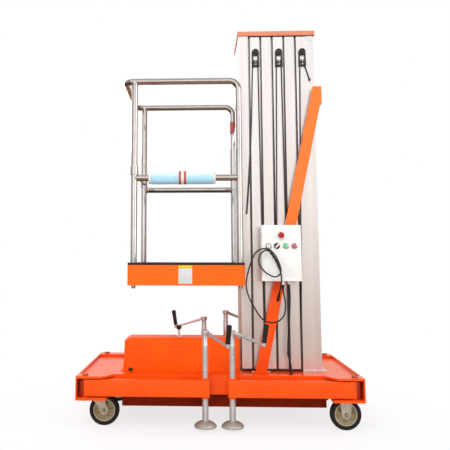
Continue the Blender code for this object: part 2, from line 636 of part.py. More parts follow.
def make_section(index, alloy, body):
    """One hollow extrusion with T-slots towards the platform and T-tongues away from it."""
    left = section_left(index)
    depth = FIXED_DEPTH if index == 1 else SECTION_DEPTH
    right = left + depth
    half = SECTION_HALF_WIDTH
    pocket = SLOT_LIP + TONGUE_THICK + 2 * RUN_GAP
    mouth = TONGUE_NECK / 2 + RUN_GAP
    room = TONGUE_HEAD / 2 + RUN_GAP
    outline = [(left, -half)]
    if index < SECTION_COUNT:
        for y in (-SLOT_Y, SLOT_Y):
            outline += [(left, y - mouth), (left + SLOT_LIP, y - mouth), (left + SLOT_LIP, y - room),
                        (left + pocket, y - room), (left + pocket, y + room),
                        (left + SLOT_LIP, y + room), (left + SLOT_LIP, y + mouth), (left, y + mouth)]
    outline += [(left, half), (right, half)]
    if index > 1:
        head = section_left(index - 1) + SLOT_LIP + RUN_GAP
        neck, wide = TONGUE_NECK / 2, TONGUE_HEAD / 2
        for y in (SLOT_Y, -SLOT_Y):
            outline += [(right, y + neck), (head, y + neck), (head, y + wide),
                        (head + TONGUE_THICK, y + wide), (head + TONGUE_THICK, y - wide),
                        (head, y - wide), (head, y - neck), (right, y - neck)]
    outline += [(right, -half)]
    wall = SECTION_WALL
    cell = [(left + wall, -half + wall)]
    if index < SECTION_COUNT:
        reach = left + pocket + SLOT_BACK_WALL
        thick = room + SLOT_BACK_WALL
        for y in (-SLOT_Y, SLOT_Y):
            cell += [(left + wall, y - thick), (reach, y - thick), (reach, y + thick),
                     (left + wall, y + thick)]
    cell += [(left + wall, half - wall), (right - wall, half - wall), (right - wall, -half + wall)]
    if index == SECTION_COUNT:
        mesh = prism(outline, MOVING_BOTTOM_Z, CAP_BOTTOM_Z - SEAT_GAP, holes=[cell])
    elif index > 1:
        mesh = prism(outline, MOVING_BOTTOM_Z, SECTION_TOP_Z, holes=[cell])
    else:
        foot_z = DECK_Z + SEAT_GAP
        shaft = prism(outline, foot_z + FOOT_THICK - 0.001, SECTION_TOP_Z, holes=[cell])
        foot = block((left - FOOT_REACH[0], right + FOOT_REACH[1]),
                     (-half - FOOT_REACH[2], half + FOOT_REACH[2]), (foot_z, foot_z + FOOT_THICK))
        drain = block((left + FOOT_DRAIN[0], right - FOOT_DRAIN[1]), (-FOOT_DRAIN[2], FOOT_DRAIN[2]),
                      (foot_z - 0.01, foot_z + FOOT_THICK + 0.01))
        mesh = combined(shaft, add=[foot], cut=[drain])
    node("mast_section_%d" % index, mesh, alloy, body)


def make_cap(paint, body):
    """Folded cap over the whole mast, carried by the platform's section."""
    right = section_left(1) + FIXED_DEPTH
    outer = block((MAST_X - CAP_OVERHANG, right + CAP_OVERHANG),
                  (-SECTION_HALF_WIDTH - CAP_OVERHANG, SECTION_HALF_WIDTH + CAP_OVERHANG),
                  (CAP_BOTTOM_Z, CAP_TOP_Z), bevel=CAP_EDGE)
    pocket = block((MAST_X + SECTION_DEPTH + CAP_SEAT, right + CAP_OVERHANG - CAP_SHEET),
                   (-SECTION_HALF_WIDTH - CAP_SHEET, SECTION_HALF_WIDTH + CAP_SHEET),
                   (CAP_BOTTOM_Z - 0.01, CAP_TOP_Z - CAP_SHEET))
    node("mast_cap", combined(outer, cut=[pocket]), paint, body)


def make_braces(paint):
    """Two slanted bars from the deck to a cross-piece behind the mast."""
    foot_z = DECK_Z + SEAT_GAP
    slope = (BRACE_HEAD_X - BRACE_FOOT_X) / (BRACE_TOP_Z - DECK_Z)
    half = BRACE_WIDTH / 2 * (1 + slope ** 2) ** 0.5
    back_x = section_left(1) + FIXED_DEPTH + SEAT_GAP
    end_x = back_x + BRACE_CROSS_THICK
    meet_z = foot_z + (end_x - BRACE_FOOT_X - half) / slope
    outline = [(BRACE_FOOT_X - half, foot_z), (BRACE_FOOT_X + half, foot_z), (end_x, meet_z),
               (end_x, BRACE_TOP_Z), (BRACE_FOOT_X - half + slope * (BRACE_TOP_Z - foot_z), BRACE_TOP_Z)]
    outer_y = BRACE_FACE_Y + BRACE_THICK
    cross = block((back_x, end_x), (-outer_y, outer_y),
                  (BRACE_TOP_Z - BRACE_CROSS_HEIGHT, BRACE_TOP_Z))
    sides = [prism(outline, low, high, axis="Y")
             for low, high in ((-outer_y, -BRACE_FACE_Y), (BRACE_FACE_Y, outer_y))]
    end, outer, inner, thick = BRACE_PAD
    pads = [block((BRACE_FOOT_X - half - end, BRACE_FOOT_X + half + end),
                  span(side * (BRACE_FACE_Y - inner), side * (outer_y + outer)),
                  (foot_z, foot_z + thick)) for side in (-1, 1)]
    node("mast_brace", combined(cross, add=sides + pads), paint)


def make_control_box(white, black, red, green, metal):
    """Ground control box on the front brace, with its switches on the front face."""
    back_y = -(BRACE_FACE_Y + BRACE_THICK + SEAT_GAP)
    face_y = back_y - BOX_DEPTH
    box = block(BOX_X, (face_y, back_y), BOX_Z, bevel=BOX_CORNER)
    gland = rod((CORD_EXIT[0], CORD_EXIT[1], BOX_Z[0] + 0.001),
                (CORD_EXIT[0], CORD_EXIT[1], BOX_Z[0] - GLAND_LENGTH), GLAND_R, sides=12)
    feed = rod((FEED_X, -FEED_Y, BOX_Z[0] + 0.001), (FEED_X, -FEED_Y, BOX_Z[0] - GLAND_LENGTH),
               GLAND_R, sides=12)
    node("control_box", combined(box, add=[gland, feed]), white)
    looks = {"emergency_stop": red, "key_switch": metal, "selector_switch": black,
             "green_button": green, "red_button": red}
    for name, (from_left, from_top, radius, reach, flange) in CONTROLS.items():
        x, z = BOX_X[0] + from_left, BOX_Z[1] - from_top
        out = face_y - SEAT_GAP
        if name == "emergency_stop":
            neck, under, edge, crown = (reach - drop for drop in MUSHROOM)
            profile = [(0.0, 0.0), (flange, 0.0), (flange, neck), (radius - MUSHROOM_EDGE, under),
                       (radius, edge), (radius - MUSHROOM_EDGE, crown), (radius / 2, reach), (0.0, reach)]
        else:
            profile = [(0.0, 0.0), (flange, 0.0), (flange, BEZEL[0]), (radius, BEZEL[1]), (radius, reach),
                       (0.0, reach)]
        node(name, turned(profile, (x, out, z), axis="Y", sides=12), looks[name])


def half_disc(x, z, radius):
    """The upper half of a circle, from its right end to its left."""
    return [(x + radius * cos(a), z + radius * sin(a)) for a in (radians(30 * i) for i in range(7))]


def make_sheave(index, plastic, body):
    """Cable sheave with its bracket and two strands; a strand of the fixed one ends at an anchor."""
    x = section_left(index) + SHEAVE_INSETS[index]
    back = -(SECTION_HALF_WIDTH + SEAT_GAP)
    low, high = SHEAVE_Z
    half = SHEAVE_WIDTH / 2
    hub_z = high - half
    front = back - SHEAVE_PLATE - SHEAVE_WHEEL
    plate = prism([(x - half, low), (x + half, low)] + half_disc(x, hub_z, half),
                  back - SHEAVE_PLATE, back, axis="Y")
    wheel = rod((x, back - PLATE_BITE, hub_z), (x, front - PLATE_BITE, hub_z), SHEAVE_WHEEL_R, sides=12)
    foot_half, head_r, lift, thick = SHEAVE_CHEEK
    cheek = prism([(x - foot_half, low + lift), (x + foot_half, low + lift)] + half_disc(x, hub_z, head_r),
                  front - thick, front, axis="Y")
    clamp_half, clamp_low, clamp_high, clamp_bevel = SHEAVE_CLAMP
    clamp = block((x - clamp_half, x + clamp_half), (front - SEAT_GAP, back - SHEAVE_PLATE + PLATE_BITE),
                  (low + clamp_low, low + clamp_high), bevel=clamp_bevel)
    strand_y = back - STRAND_R - SEAT_GAP
    ends = [(x - STRAND_SPREAD, STRAND_BOTTOM_Z), (x + STRAND_SPREAD, STRAND_BOTTOM_Z)]
    extra = []
    if index == 1:
        ends[1] = (x + STRAND_ANCHOR[0], high - STRAND_ANCHOR[1])
        extra.append(rod((ends[1][0], back, ends[1][1]), (ends[1][0], strand_y - STRAND_ANCHOR_R, ends[1][1]),
                         STRAND_ANCHOR_R, sides=8))
    for side, (end_x, end_z) in zip((-1, 1), ends):
        extra.append(rod((end_x, strand_y, end_z), (x + side * STRAND_SPREAD, strand_y, low + PLATE_BITE),
                         STRAND_R, sides=6))
    node("cable_sheave_%d" % index, combined(plate, add=[wheel, cheek, clamp, *extra]), plastic, body)


def castor_leg(axle_x, top_x, top_z, y_low, y_high):
    """A fork plate that narrows from the crown to a round end at the axle."""
    bottom = [(axle_x + FORK_END_R * cos(a), WHEEL_R + FORK_END_R * sin(a))
              for a in (radians(180 + 36 * i) for i in range(6))]
    outline = [(top_x + FORK_HALF_LENGTH, top_z), (top_x - FORK_HALF_LENGTH, top_z), *bottom]
    return prism(outline, y_low, y_high, axis="Y")


def make_fork(name, axle, top_x, zinc, crown, extra, body=None):
    """Two fork plates, the axle bolt with its heads, and the crown above the wheel."""
    axle_x, y_mid = axle
    near = TYRE_WIDTH / 2 + FORK_SIDE_GAP
    far = near + FORK_PLATE
    top_z = crown[1]
    legs = [castor_leg(axle_x, top_x, top_z, y_mid - far, y_mid - near),
            castor_leg(axle_x, top_x, top_z, y_mid + near, y_mid + far)]
    bar = rod((axle_x, y_mid - far, WHEEL_R), (axle_x, y_mid + far, WHEEL_R), AXLE_R, sides=12)
    heads = [rod((axle_x, y_mid + side * (far - SEAT_GAP), WHEEL_R),
                 (axle_x, y_mid + side * (far + AXLE_HEAD), WHEEL_R), AXLE_HEAD_R, sides=6)
             for side in (-1, 1)]
    bridge = block((top_x - FORK_HALF_LENGTH, top_x + FORK_HALF_LENGTH), (y_mid - far, y_mid + far),
                   crown)
    node(name, combined(bridge, add=[*legs, bar, *heads, *extra]), zinc, body)


def make_wheel(name, axle, rubber, hub_paint, body):
    """A rubber tyre bonded to a pressed hub with lightening holes, turned about Y."""
    axle_x, y_mid = axle
    centre = (axle_x, y_mid, WHEEL_R)
    half = TYRE_WIDTH / 2
    inner = WHEEL_R - TYRE_THICK
    tread = WHEEL_R / cos(pi / TYRE_SIDES)
    down, across = TYRE_SHOULDER
    bead = half - TYRE_BEAD_INSET
    tyre = [(inner, -bead), (tread - down, -half), (tread, across - half), (tread, half - across),
            (tread - down, half), (inner, bead)]
    node("tyre_" + name, turned(tyre, centre, axis="Y", sides=TYRE_SIDES), rubber, body)
    rim = inner - SEAT_GAP * 2
    web = HUB_WEB / 2
    bore = AXLE_R + RUN_GAP
    lip = rim - HUB_LIP
    edge, boss = half - HUB_RIM_INSET, half - HUB_BOSS_INSET
    hub = [(rim, -edge), (rim, edge), (lip, edge), (lip, web), (HUB_BOSS_R, web), (HUB_BOSS_R, boss),
           (bore, boss), (bore, -boss), (HUB_BOSS_R, -boss), (HUB_BOSS_R, -web), (lip, -web), (lip, -edge)]
    ring_r = (HUB_BOSS_R + lip) / 2
    holes = [rod((axle_x + ring_r * cos(a), y_mid - half, WHEEL_R + ring_r * sin(a)),
                 (axle_x + ring_r * cos(a), y_mid + half, WHEEL_R + ring_r * sin(a)),
                 HUB_HOLE_R, sides=6)
             for a in (radians(45 + 90 * i) for i in range(4))]
    node("hub_" + name, combined(turned(hub, centre, axis="Y", sides=14), cut=holes), hub_paint, body)


def make_castors(zinc, rubber, hub_paint):
    """Two swivel castors under the platform end and two rigid ones under the mast."""
    crown_low = FORK_CROWN_Z
    flange_x, flange_in, flange_out, flange_thick = RIGID_FLANGE
    for side, sy in (("front", -1), ("rear", 1)):
        swivel = axis_empty("swivel_axis_%s" % side, (SWIVEL_X, sy * SWIVEL_Y, crown_low))
        axle = (SWIVEL_X + SWIVEL_TRAIL, sy * SWIVEL_Y)
        race = rod((SWIVEL_X, sy * SWIVEL_Y, crown_low), (SWIVEL_X, sy * SWIVEL_Y, FORK_RACE_TOP_Z),
                   SWIVEL_RACE_R + SWIVEL_RACE_LIP)
        make_fork("swivel_fork_" + side, axle, SWIVEL_X, zinc, (crown_low, crown_low + FORK_CROWN),
                  [race], swivel)
        wheel = axis_empty("left_axle_%s" % side, (axle[0], axle[1], WHEEL_R), swivel)
        make_wheel("left_" + side, axle, rubber, hub_paint, wheel)
        axle = (RIGID_X, sy * RIGID_Y)
        top = WALL_BOTTOM_Z - SEAT_GAP
        crown = (top - flange_thick, top)
        flange = block((RIGID_X - flange_x, RIGID_X + flange_x),
                       span(sy * (RIGID_Y - flange_in), sy * (RIGID_Y + flange_out)), crown)
        make_fork("rigid_fork_" + side, axle, RIGID_X, zinc, crown, [flange])
        wheel = axis_empty("right_axle_%s" % side, (axle[0], axle[1], WHEEL_R))
        make_wheel("right_" + side, axle, rubber, hub_paint, wheel)


def make_arm(corner, sx, sy, paint):
    """Swing-out box tube with a round tail on its pivot pin and a sleeve for the jack."""
    body = axis_empty("arm_axis_" + corner, (sx * ARM_PIVOT_X, sy * ARM_Y, ARM_BOTTOM_Z))
    half = ARM_WIDTH / 2
    tail = [(ARM_PIVOT_X + half * sin(a), ARM_Y + half * cos(a))
            for a in (radians(30 * i) for i in range(7))]
    plan = mirrored([(ARM_END_X, ARM_Y + half), *tail, (ARM_END_X, ARM_Y - half)], sx, sy)
    tube = prism(plan, ARM_BOTTOM_Z, ARM_TOP_Z)
    hollow_end = ARM_PIVOT_X - PIVOT_BUSH_R - ARM_SOLID
    hollow = block(span(sx * (ARM_END_X - 0.01), sx * hollow_end),
                   span(sy * (ARM_Y - half + ARM_WALL), sy * (ARM_Y + half - ARM_WALL)),
                   (ARM_BOTTOM_Z + ARM_WALL, ARM_TOP_Z - ARM_WALL))
    px, py = sx * ARM_PIVOT_X, sy * ARM_Y
    bush = rod((px, py, EAR_FLOOR_Z + SEAT_GAP), (px, py, EAR_TOP_Z - SEAT_GAP), PIVOT_BUSH_R, sides=12)
    bore = rod((px, py, EAR_FLOOR_Z - 0.01), (px, py, EAR_TOP_Z + 0.01), PIVOT_PIN_R + RUN_GAP,
               sides=12)
    jx, jy = sx * JACK_X, sy * ARM_Y
    sleeve = rod((jx, jy, ARM_BOTTOM_Z - JACK_COLLAR), (jx, jy, ARM_TOP_Z + JACK_COLLAR),
                 JACK_SLEEVE_R, sides=12)
    jack_bore = rod((jx, jy, ARM_BOTTOM_Z - 0.03), (jx, jy, ARM_TOP_Z + 0.03), JACK_R + RUN_GAP,
                    sides=16)
    shell = combined(tube, cut=[hollow])
    node("arm_" + corner, combined(shell, add=[bush, sleeve], cut=[bore, jack_bore]), paint, body)
    return body


def make_jack(corner, sx, sy, zinc, plastic, arm):
    """Screw jack with a dished foot pad and a crank with a plastic grip."""
    jx, jy = sx * JACK_X, sy * ARM_Y
    heading, lift = CRANKS[corner]
    body = axis_empty("jack_axis_" + corner, (jx, jy, PAD_BOTTOM_Z), arm)
    head_z = HEAD_Z + lift
    pad_low = PAD_BOTTOM_Z
    cone_top = pad_low + PAD_RIM + PAD_CONE
    shoulder, neck, head_low = (head_z - drop for drop in JACK_NECK_DROPS)
    profile = [(0.0, pad_low), (PAD_R, pad_low), (PAD_R, pad_low + PAD_RIM),
               (PAD_R - PAD_DISH[0], pad_low + PAD_RIM + PAD_DISH[1]),
               (JACK_R + PAD_THROAT, cone_top - PAD_THROAT), (JACK_R, cone_top), (JACK_R, shoulder),
               (JACK_NECK_R, neck), (JACK_NECK_R, head_low), (HEAD_R, head_low), (HEAD_R, head_z),
               (0.0, head_z)]
    leg = turned(profile, (jx, jy, 0.0), sides=12)
    out = Vector((cos(radians(heading)), sin(radians(heading)), 0.0))
    across = Vector((-out.y, out.x, 0.0))
    start = Vector((jx, jy, head_z - CRANK_THICK))
    tip = start + out * CRANK_LENGTH - Vector((0.0, 0.0, CRANK_DROP))
    bm = bmesh.new()
    bmesh.ops.create_cube(bm, size=1.0)
    for vertex in bm.verts:
        along = start if vertex.co.x < 0 else tip + out * (GRIP_R + 0.001)
        vertex.co = (along + across * (vertex.co.y * CRANK_WIDTH)
                     + Vector((0.0, 0.0, vertex.co.z * CRANK_THICK)))
    lever = mesh_from(bm)
    lean = (Vector((0.0, 0.0, 1.0)) + out * GRIP_LEAN).normalized()
    stub_top = tip + lean * (CRANK_THICK / 2 + GRIP_R * GRIP_STUB[0])
    stub = rod(tip, stub_top, GRIP_R * GRIP_STUB[1], sides=12)
    node("jack_" + corner, combined(leg, add=[lever, stub]), zinc, body)
    grip_low = stub_top + lean * SEAT_GAP
    grip = rod(grip_low, grip_low + lean * GRIP_LENGTH, GRIP_R, sides=12, end_radius=GRIP_R * GRIP_FLARE)
    node("crank_grip_" + corner, grip, plastic, body)


def platform_outline():
    """Plan of the platform with the notch that the mast and its carriage pass through."""
    left, right = PLATFORM_X
    half = PLATFORM_HALF_WIDTH
    cut = PLATFORM_CORNER
    return [(left + cut, -half), (right - cut, -half), (right, -half + cut), (right, -NOTCH_HALF_WIDTH),
            (NOTCH_X, -NOTCH_HALF_WIDTH), (NOTCH_X, NOTCH_HALF_WIDTH), (right, NOTCH_HALF_WIDTH),
            (right, half - cut), (right - cut, half), (left + cut, half), (left, half - cut),
            (left, -half + cut)]


def post_holes(low, high):
    """Cutters for the four posts that pass through the deck."""
    return [rod((x, y, low), (x, y, high), TUBE_R + RUN_GAP, sides=16)
            for x in (POST_LEFT_X, POST_RIGHT_X) for y in (-POST_Y, POST_Y)]


def make_platform(paint, black, chrome, foam, body):
    """Skirted tray, deck mat, guard rails, foam roll and the sliding entry bar."""
    tray_top = MAT_TOP_Z - MAT_THICK - SEAT_GAP
    shell = prism(platform_outline(), SKIRT_BOTTOM_Z, tray_top)
    room = block((PLATFORM_X[0] + SKIRT_SHEET, PLATFORM_X[1] - SKIRT_SHEET),
                 (-PLATFORM_HALF_WIDTH + SKIRT_SHEET, PLATFORM_HALF_WIDTH - SKIRT_SHEET),
                 (SKIRT_BOTTOM_Z - 0.01, tray_top - SKIRT_SHEET), bevel=PLATFORM_CORNER,
                 vertical_only=True)
    node("platform_tray", combined(shell, cut=[room, *post_holes(tray_top - 0.02, tray_top + 0.02)]),
         paint, body)
    mat = prism(platform_outline(), MAT_TOP_Z - MAT_THICK, MAT_TOP_Z)
    node("deck_mat", combined(mat, cut=post_holes(tray_top - 0.02, MAT_TOP_Z + 0.02)), black, body)

    foot_z = SKIRT_BOTTOM_Z
    rail = rounded_path([(POST_RIGHT_X, -POST_Y, foot_z), (POST_RIGHT_X, -POST_Y, TOP_RAIL_Z),
                         (RAIL_END_X, -POST_Y, TOP_RAIL_Z), (RAIL_END_X, POST_Y, TOP_RAIL_Z),
                         (POST_RIGHT_X, POST_Y, TOP_RAIL_Z), (POST_RIGHT_X, POST_Y, foot_z)],
                        RAIL_BEND_R)
    bite = TUBE_R / 3
    tubes = [rod((POST_LEFT_X, y, foot_z), (POST_LEFT_X, y, TOP_RAIL_Z + bite), TUBE_R, sides=14)
             for y in (-POST_Y, POST_Y)]
    tubes += [rod((POST_LEFT_X - bite, y, MID_RAIL_Z), (POST_RIGHT_X + bite, y, MID_RAIL_Z), TUBE_R)
              for y in (-POST_Y, POST_Y)]
    tubes += [rod((x, y, foot_z - POST_FOOT), (x, y, foot_z + 0.002), POST_FOOT_R, sides=12)
              for x in (POST_LEFT_X, POST_RIGHT_X) for y in (-POST_Y, POST_Y)]
    node("guard_rail", combined(bent_tube(rail, TUBE_R), add=tubes), chrome, body)

    inside = TUBE_R + RUN_GAP
    roll = [(inside, PAD_X[0]), (PAD_ROLL_R, PAD_X[0]), (PAD_ROLL_R, PAD_X[1]), (inside, PAD_X[1])]
    node("rail_pad", turned(roll, (0.0, -POST_Y, MID_RAIL_Z), axis="X", sides=20), foam, body)

    bar_body = axis_empty("entry_bar_axis", (POST_LEFT_X, 0.0, SLEEVE_BOTTOM_Z), body)
    bar_z = SLEEVE_BOTTOM_Z + SLEEVE_HEIGHT / 2
    sleeves = [rod((POST_LEFT_X, y, SLEEVE_BOTTOM_Z), (POST_LEFT_X, y, SLEEVE_BOTTOM_Z + SLEEVE_HEIGHT),
                   SLEEVE_R) for y in (-POST_Y, POST_Y)]
    bores = [rod((POST_LEFT_X, y, SLEEVE_BOTTOM_Z - 0.01),
                 (POST_LEFT_X, y, SLEEVE_BOTTOM_Z + SLEEVE_HEIGHT + 0.01), TUBE_R + RUN_GAP)
             for y in (-POST_Y, POST_Y)]
    bar = rod((POST_LEFT_X, -POST_Y, bar_z), (POST_LEFT_X, POST_Y, bar_z), BAR_R, sides=12)
    node("entry_bar", combined(bar, add=sleeves, cut=bores), chrome, bar_body)


def make_carriage(paint, body):
    """Two uprights on the platform's mast section with arms under the deck."""
    right = MAST_X - SEAT_GAP
    left = right - CARRIAGE_THICK
    tray_top = MAT_TOP_Z - MAT_THICK - SEAT_GAP
    arm_top = tray_top - SKIRT_SHEET - SEAT_GAP
    half = CARRIAGE_BAR / 2
    pieces = []
    for y in (-CARRIAGE_Y, CARRIAGE_Y):
        pieces.append(block((left, right), (y - half, y + half),
                            (arm_top - CARRIAGE_ARM_HEIGHT - CARRIAGE_TAIL, CARRIAGE_TOP_Z)))
        pieces.append(block((CARRIAGE_REACH_X, right - PLATE_BITE), (y - half, y + half),
                            (arm_top - CARRIAGE_ARM_HEIGHT, arm_top)))
    low_tie, high_tie = CARRIAGE_TIE_HEIGHTS
    top = CARRIAGE_TOP_Z - CARRIAGE_TIE_STEP
    pieces.append(block((left + CARRIAGE_TIE_STEP, right), (-CARRIAGE_Y, CARRIAGE_Y),
                        (top - high_tie, top)))
    start = block((left + CARRIAGE_TIE_STEP, right), (-CARRIAGE_Y, CARRIAGE_Y),
                  (arm_top - CARRIAGE_ARM_HEIGHT - low_tie, arm_top - CARRIAGE_ARM_HEIGHT + CARRIAGE_TIE_LAP))
    node("platform_carriage", combined(start, add=pieces), paint, body)


def make_cables(rubber, plastic):
    """Feed cable from the box to the deck, and the hanging lead with its plug."""
    top = BOX_Z[0] - GLAND_LENGTH - SEAT_GAP
    bottom = DECK_Z - DECK_THICK - FEED_TAIL
    way_points = [(FEED_X, -FEED_Y, top)]
    way_points += [(FEED_X + along, -FEED_Y - out, DECK_Z + height) for along, out, height in FEED_SWAY]
    feed = smooth_route([*way_points, (FEED_X, -FEED_Y, bottom)], FEED_R * FEED_STEP)
    node("feed_cable", bent_tube(feed, FEED_R, resolution=1), rubber)
    route = smooth_route(CORD_ROUTE, CORD_R * CORD_STEP)
    node("control_cord", bent_tube(route, CORD_R, resolution=1), rubber)
    end = route[-1]
    way = (route[-1] - route[-2]).normalized()
    low = end + way * SEAT_GAP
    node("cord_plug", rod(low, low + way * PLUG_LENGTH, PLUG_R, sides=14), plastic)


CORD_ROUTE = [              # down from the gland, round the big loop, then the small one, to the plug
    (0.3230, -0.2700, BOX_Z[0] - GLAND_LENGTH - SEAT_GAP), (0.3230, -0.2700, 0.655),
    (0.3270, -0.2790, 0.622), (0.3310, -0.2920, 0.574),
    (0.3177, -0.3030, 0.5246), (0.2770, -0.3060, 0.4965), (0.2208, -0.3060, 0.5082),
    (0.1750, -0.3060, 0.5718), (0.1460, -0.3060, 0.6359), (0.1400, -0.3060, 0.690),
    (0.1525, -0.3060, 0.749), (0.1726, -0.3060, 0.806), (0.1935, -0.3060, 0.8386),
    (0.2264, -0.3070, 0.8530), (0.2590, -0.3090, 0.8455), (0.2840, -0.3130, 0.8183),
    (0.3010, -0.3150, 0.7817), (0.3090, -0.3160, 0.7454), (0.2975, -0.3165, 0.7225),
    (0.2716, -0.3170, 0.7170), (0.2315, -0.3180, 0.7400), (0.2053, -0.3190, 0.7740),
    (0.2020, -0.3200, 0.8000), (0.2105, -0.3210, 0.8262), (0.2320, -0.3230, 0.8440),
    (0.2530, -0.3250, 0.8400), (0.2710, -0.3260, 0.8180), (0.2870, -0.3265, 0.7900),
    (0.3000, -0.3270, 0.7560), (0.3100, -0.3265, 0.7110), (0.3060, -0.3170, 0.6680),
    (0.3020, -0.3100, 0.6450),
]


def build():
    """Makes every piece of the lift and returns nothing."""
    clear_scene()
    orange = material("orange paint", 1.0, 0.105, 0.010, 0.38)
    orange_skirt = material("skirt paint", 1.0, 0.170, 0.014, 0.40)
    dark_red = material("dark red paint", 0.120, 0.013, 0.008, 0.55)
    alloy = material("anodised aluminium", 0.560, 0.520, 0.480, 0.38, 0.85)
    chrome = material("chromed tube", 0.720, 0.720, 0.720, 0.16, 1.0)
    zinc = material("zinc plate", 0.500, 0.490, 0.450, 0.34, 0.9)
    hub_paint = material("cast hub", 0.330, 0.300, 0.220, 0.50, 0.6)
    rubber = material("black rubber", 0.014, 0.013, 0.012, 0.80)
    black = material("black plastic", 0.012, 0.012, 0.012, 0.45)
    white = material("white enamel", 0.800, 0.800, 0.780, 0.40)
    red = material("red plastic", 0.600, 0.010, 0.010, 0.35)
    green = material("green plastic", 0.010, 0.300, 0.060, 0.35)
    foam = material("cyan foam", 0.050, 0.420, 0.600, 0.85)

    make_base_frame(orange)
    make_pan(dark_red)
    make_hood(orange, black)
    make_castors(zinc, rubber, hub_paint)
    for corner, (sx, sy) in CORNERS.items():
        arm = make_arm(corner, sx, sy, orange)
        make_jack(corner, sx, sy, zinc, black, arm)

    carrier = None
    for index in range(1, SECTION_COUNT + 1):
        if index > 1:
            place = (section_left(index) + SECTION_DEPTH / 2, 0.0, MOVING_BOTTOM_Z)
            carrier = axis_empty("mast_axis_%d" % index, place, carrier)
        make_section(index, alloy, carrier)
        if index in SHEAVE_INSETS:
            make_sheave(index, black, carrier)
    make_cap(orange, carrier)
    make_carriage(zinc, carrier)
    make_platform(orange_skirt, black, chrome, foam, carrier)
    make_braces(orange)
    make_control_box(white, black, red, green, zinc)
    make_cables(rubber, black)


build()
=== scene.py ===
# %% [markdown]
# # A push-around vertical mast lift
# One person stands on the small guarded platform and a mast of six aluminium sections carries it up.
# The CAD model gives every rigid shape and every joint. This script dresses it: round parts get smooth
# surfaces, the cords get their real thickness, and every finish gets its own material.

# %% Load the frame
import json
from math import pi

import bmesh
import bpy
import numpy as np
from mathutils import Matrix


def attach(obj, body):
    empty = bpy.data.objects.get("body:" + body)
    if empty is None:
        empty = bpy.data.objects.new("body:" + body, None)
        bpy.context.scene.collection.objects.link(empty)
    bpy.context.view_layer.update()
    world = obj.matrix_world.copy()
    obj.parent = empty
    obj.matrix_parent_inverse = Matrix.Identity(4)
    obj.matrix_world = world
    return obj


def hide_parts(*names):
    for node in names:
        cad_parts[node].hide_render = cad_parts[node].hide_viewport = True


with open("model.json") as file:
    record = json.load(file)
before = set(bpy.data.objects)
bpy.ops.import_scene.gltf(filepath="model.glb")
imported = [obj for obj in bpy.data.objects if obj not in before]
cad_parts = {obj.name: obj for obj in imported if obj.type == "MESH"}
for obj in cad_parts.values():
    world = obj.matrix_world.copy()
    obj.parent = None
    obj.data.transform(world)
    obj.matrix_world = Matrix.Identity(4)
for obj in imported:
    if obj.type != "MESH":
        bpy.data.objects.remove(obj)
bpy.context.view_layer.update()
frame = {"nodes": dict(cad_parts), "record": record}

NODES = frame["nodes"]
print("CAD nodes:", len(NODES))

# %% [markdown]
# ## The camera
# The photograph was taken from about eye level, a little left of the middle, with the lens shifted.
# A camera could be placed by eye, but here its place was solved from points of known size, so the
# verticals and the depth of the base agree with the picture.

# %% The camera
CAMERA_PLACE = (-0.0858, -3.5184, 0.7959)
CAMERA_TURN = (pi / 2 + 0.1231, -0.001, 0.0441)
LENS_MM, SENSOR_MM = 51.58, 36.0
SHIFT = (0.1191, -0.0989)
camera_data = bpy.data.cameras.new("studio_camera")
camera_data.lens = LENS_MM
camera_data.sensor_width = SENSOR_MM
camera_data.shift_x, camera_data.shift_y = SHIFT
camera = bpy.data.objects.new("studio_camera", camera_data)
camera.location = CAMERA_PLACE
camera.rotation_euler = CAMERA_TURN
bpy.context.scene.collection.objects.link(camera)
bpy.context.scene.camera = camera
bpy.context.scene.view_settings.view_transform = "Standard"
print("camera at", CAMERA_PLACE)

# %% [markdown]
# ## Surfaces from arrays
# Every new piece is made of a few kinds of surface: something turned on a lathe, a tube along a path, a
# slab cut from plate with its edges eased, or a row of cross sections. Each is a grid of points worked
# out as one array, and one function puts such grids into a mesh. Booleans could do the same, but a grid
# keeps its faces even, so the highlights run smoothly over it.

# %% Helpers for surfaces
AXES = {"X": (1, 2, 0), "Y": (0, 2, 1), "Z": (0, 1, 2)}


def grid_faces(rows, columns, wrap_rows=False):
    """Quads of a grid whose columns go round: each point, the next in its row, and the two below them."""
    row = np.arange(rows if wrap_rows else rows - 1)[:, None]
    column = np.arange(columns)[None, :]
    after = (column + 1) % columns
    below = (row + 1) % rows
    here, there = row * columns, below * columns
    quads = (here + column, here + after, there + after, there + column)
    return np.stack(np.broadcast_arrays(*quads), axis=-1).reshape(-1, 4).tolist()


def double_grid(outside, inside):
    """Two grids of the same size, the second run backwards, joined into one ring of rows."""
    points = np.concatenate([outside, inside[::-1]])
    return points.reshape(-1, 3), grid_faces(*points.shape[:2], wrap_rows=True)


def around(sides):
    """Even angles once round."""
    return np.linspace(0.0, 2 * pi, sides, endpoint=False)


def unit(vectors):
    """The same directions with length one."""
    return vectors / np.linalg.norm(vectors, axis=-1, keepdims=True)


def closed_grid(points):
    """A grid of points whose columns go round, with a face over its first row and one over its last."""
    rows, columns = points.shape[:2]
    last = (rows - 1) * columns
    faces = grid_faces(rows, columns) + [list(range(columns)), list(range(last, last + columns))]
    return points.reshape(-1, 3), faces


def in_space(first, second, along, axis):
    """Plane coordinates and a height become x, y and z for the given axis."""
    points = np.zeros(np.broadcast_shapes(np.shape(first), np.shape(second), np.shape(along)) + (3,))
    for place, values in zip(AXES[axis], (first, second, along)):
        points[..., place] = values
    return points


def turned(profile, centre, axis="Z", sides=40, ring=False):
    """A lathe surface: point(u, v) = centre + r(v) (cos u, sin u) across the axis + h(v) along it."""
    radius, height = np.array(profile, float).T
    angle = around(sides)
    points = in_space(radius[:, None] * np.cos(angle), radius[:, None] * np.sin(angle),
                      height[:, None], axis) + np.array(centre)
    return points.reshape(-1, 3), grid_faces(len(radius), sides, wrap_rows=ring)


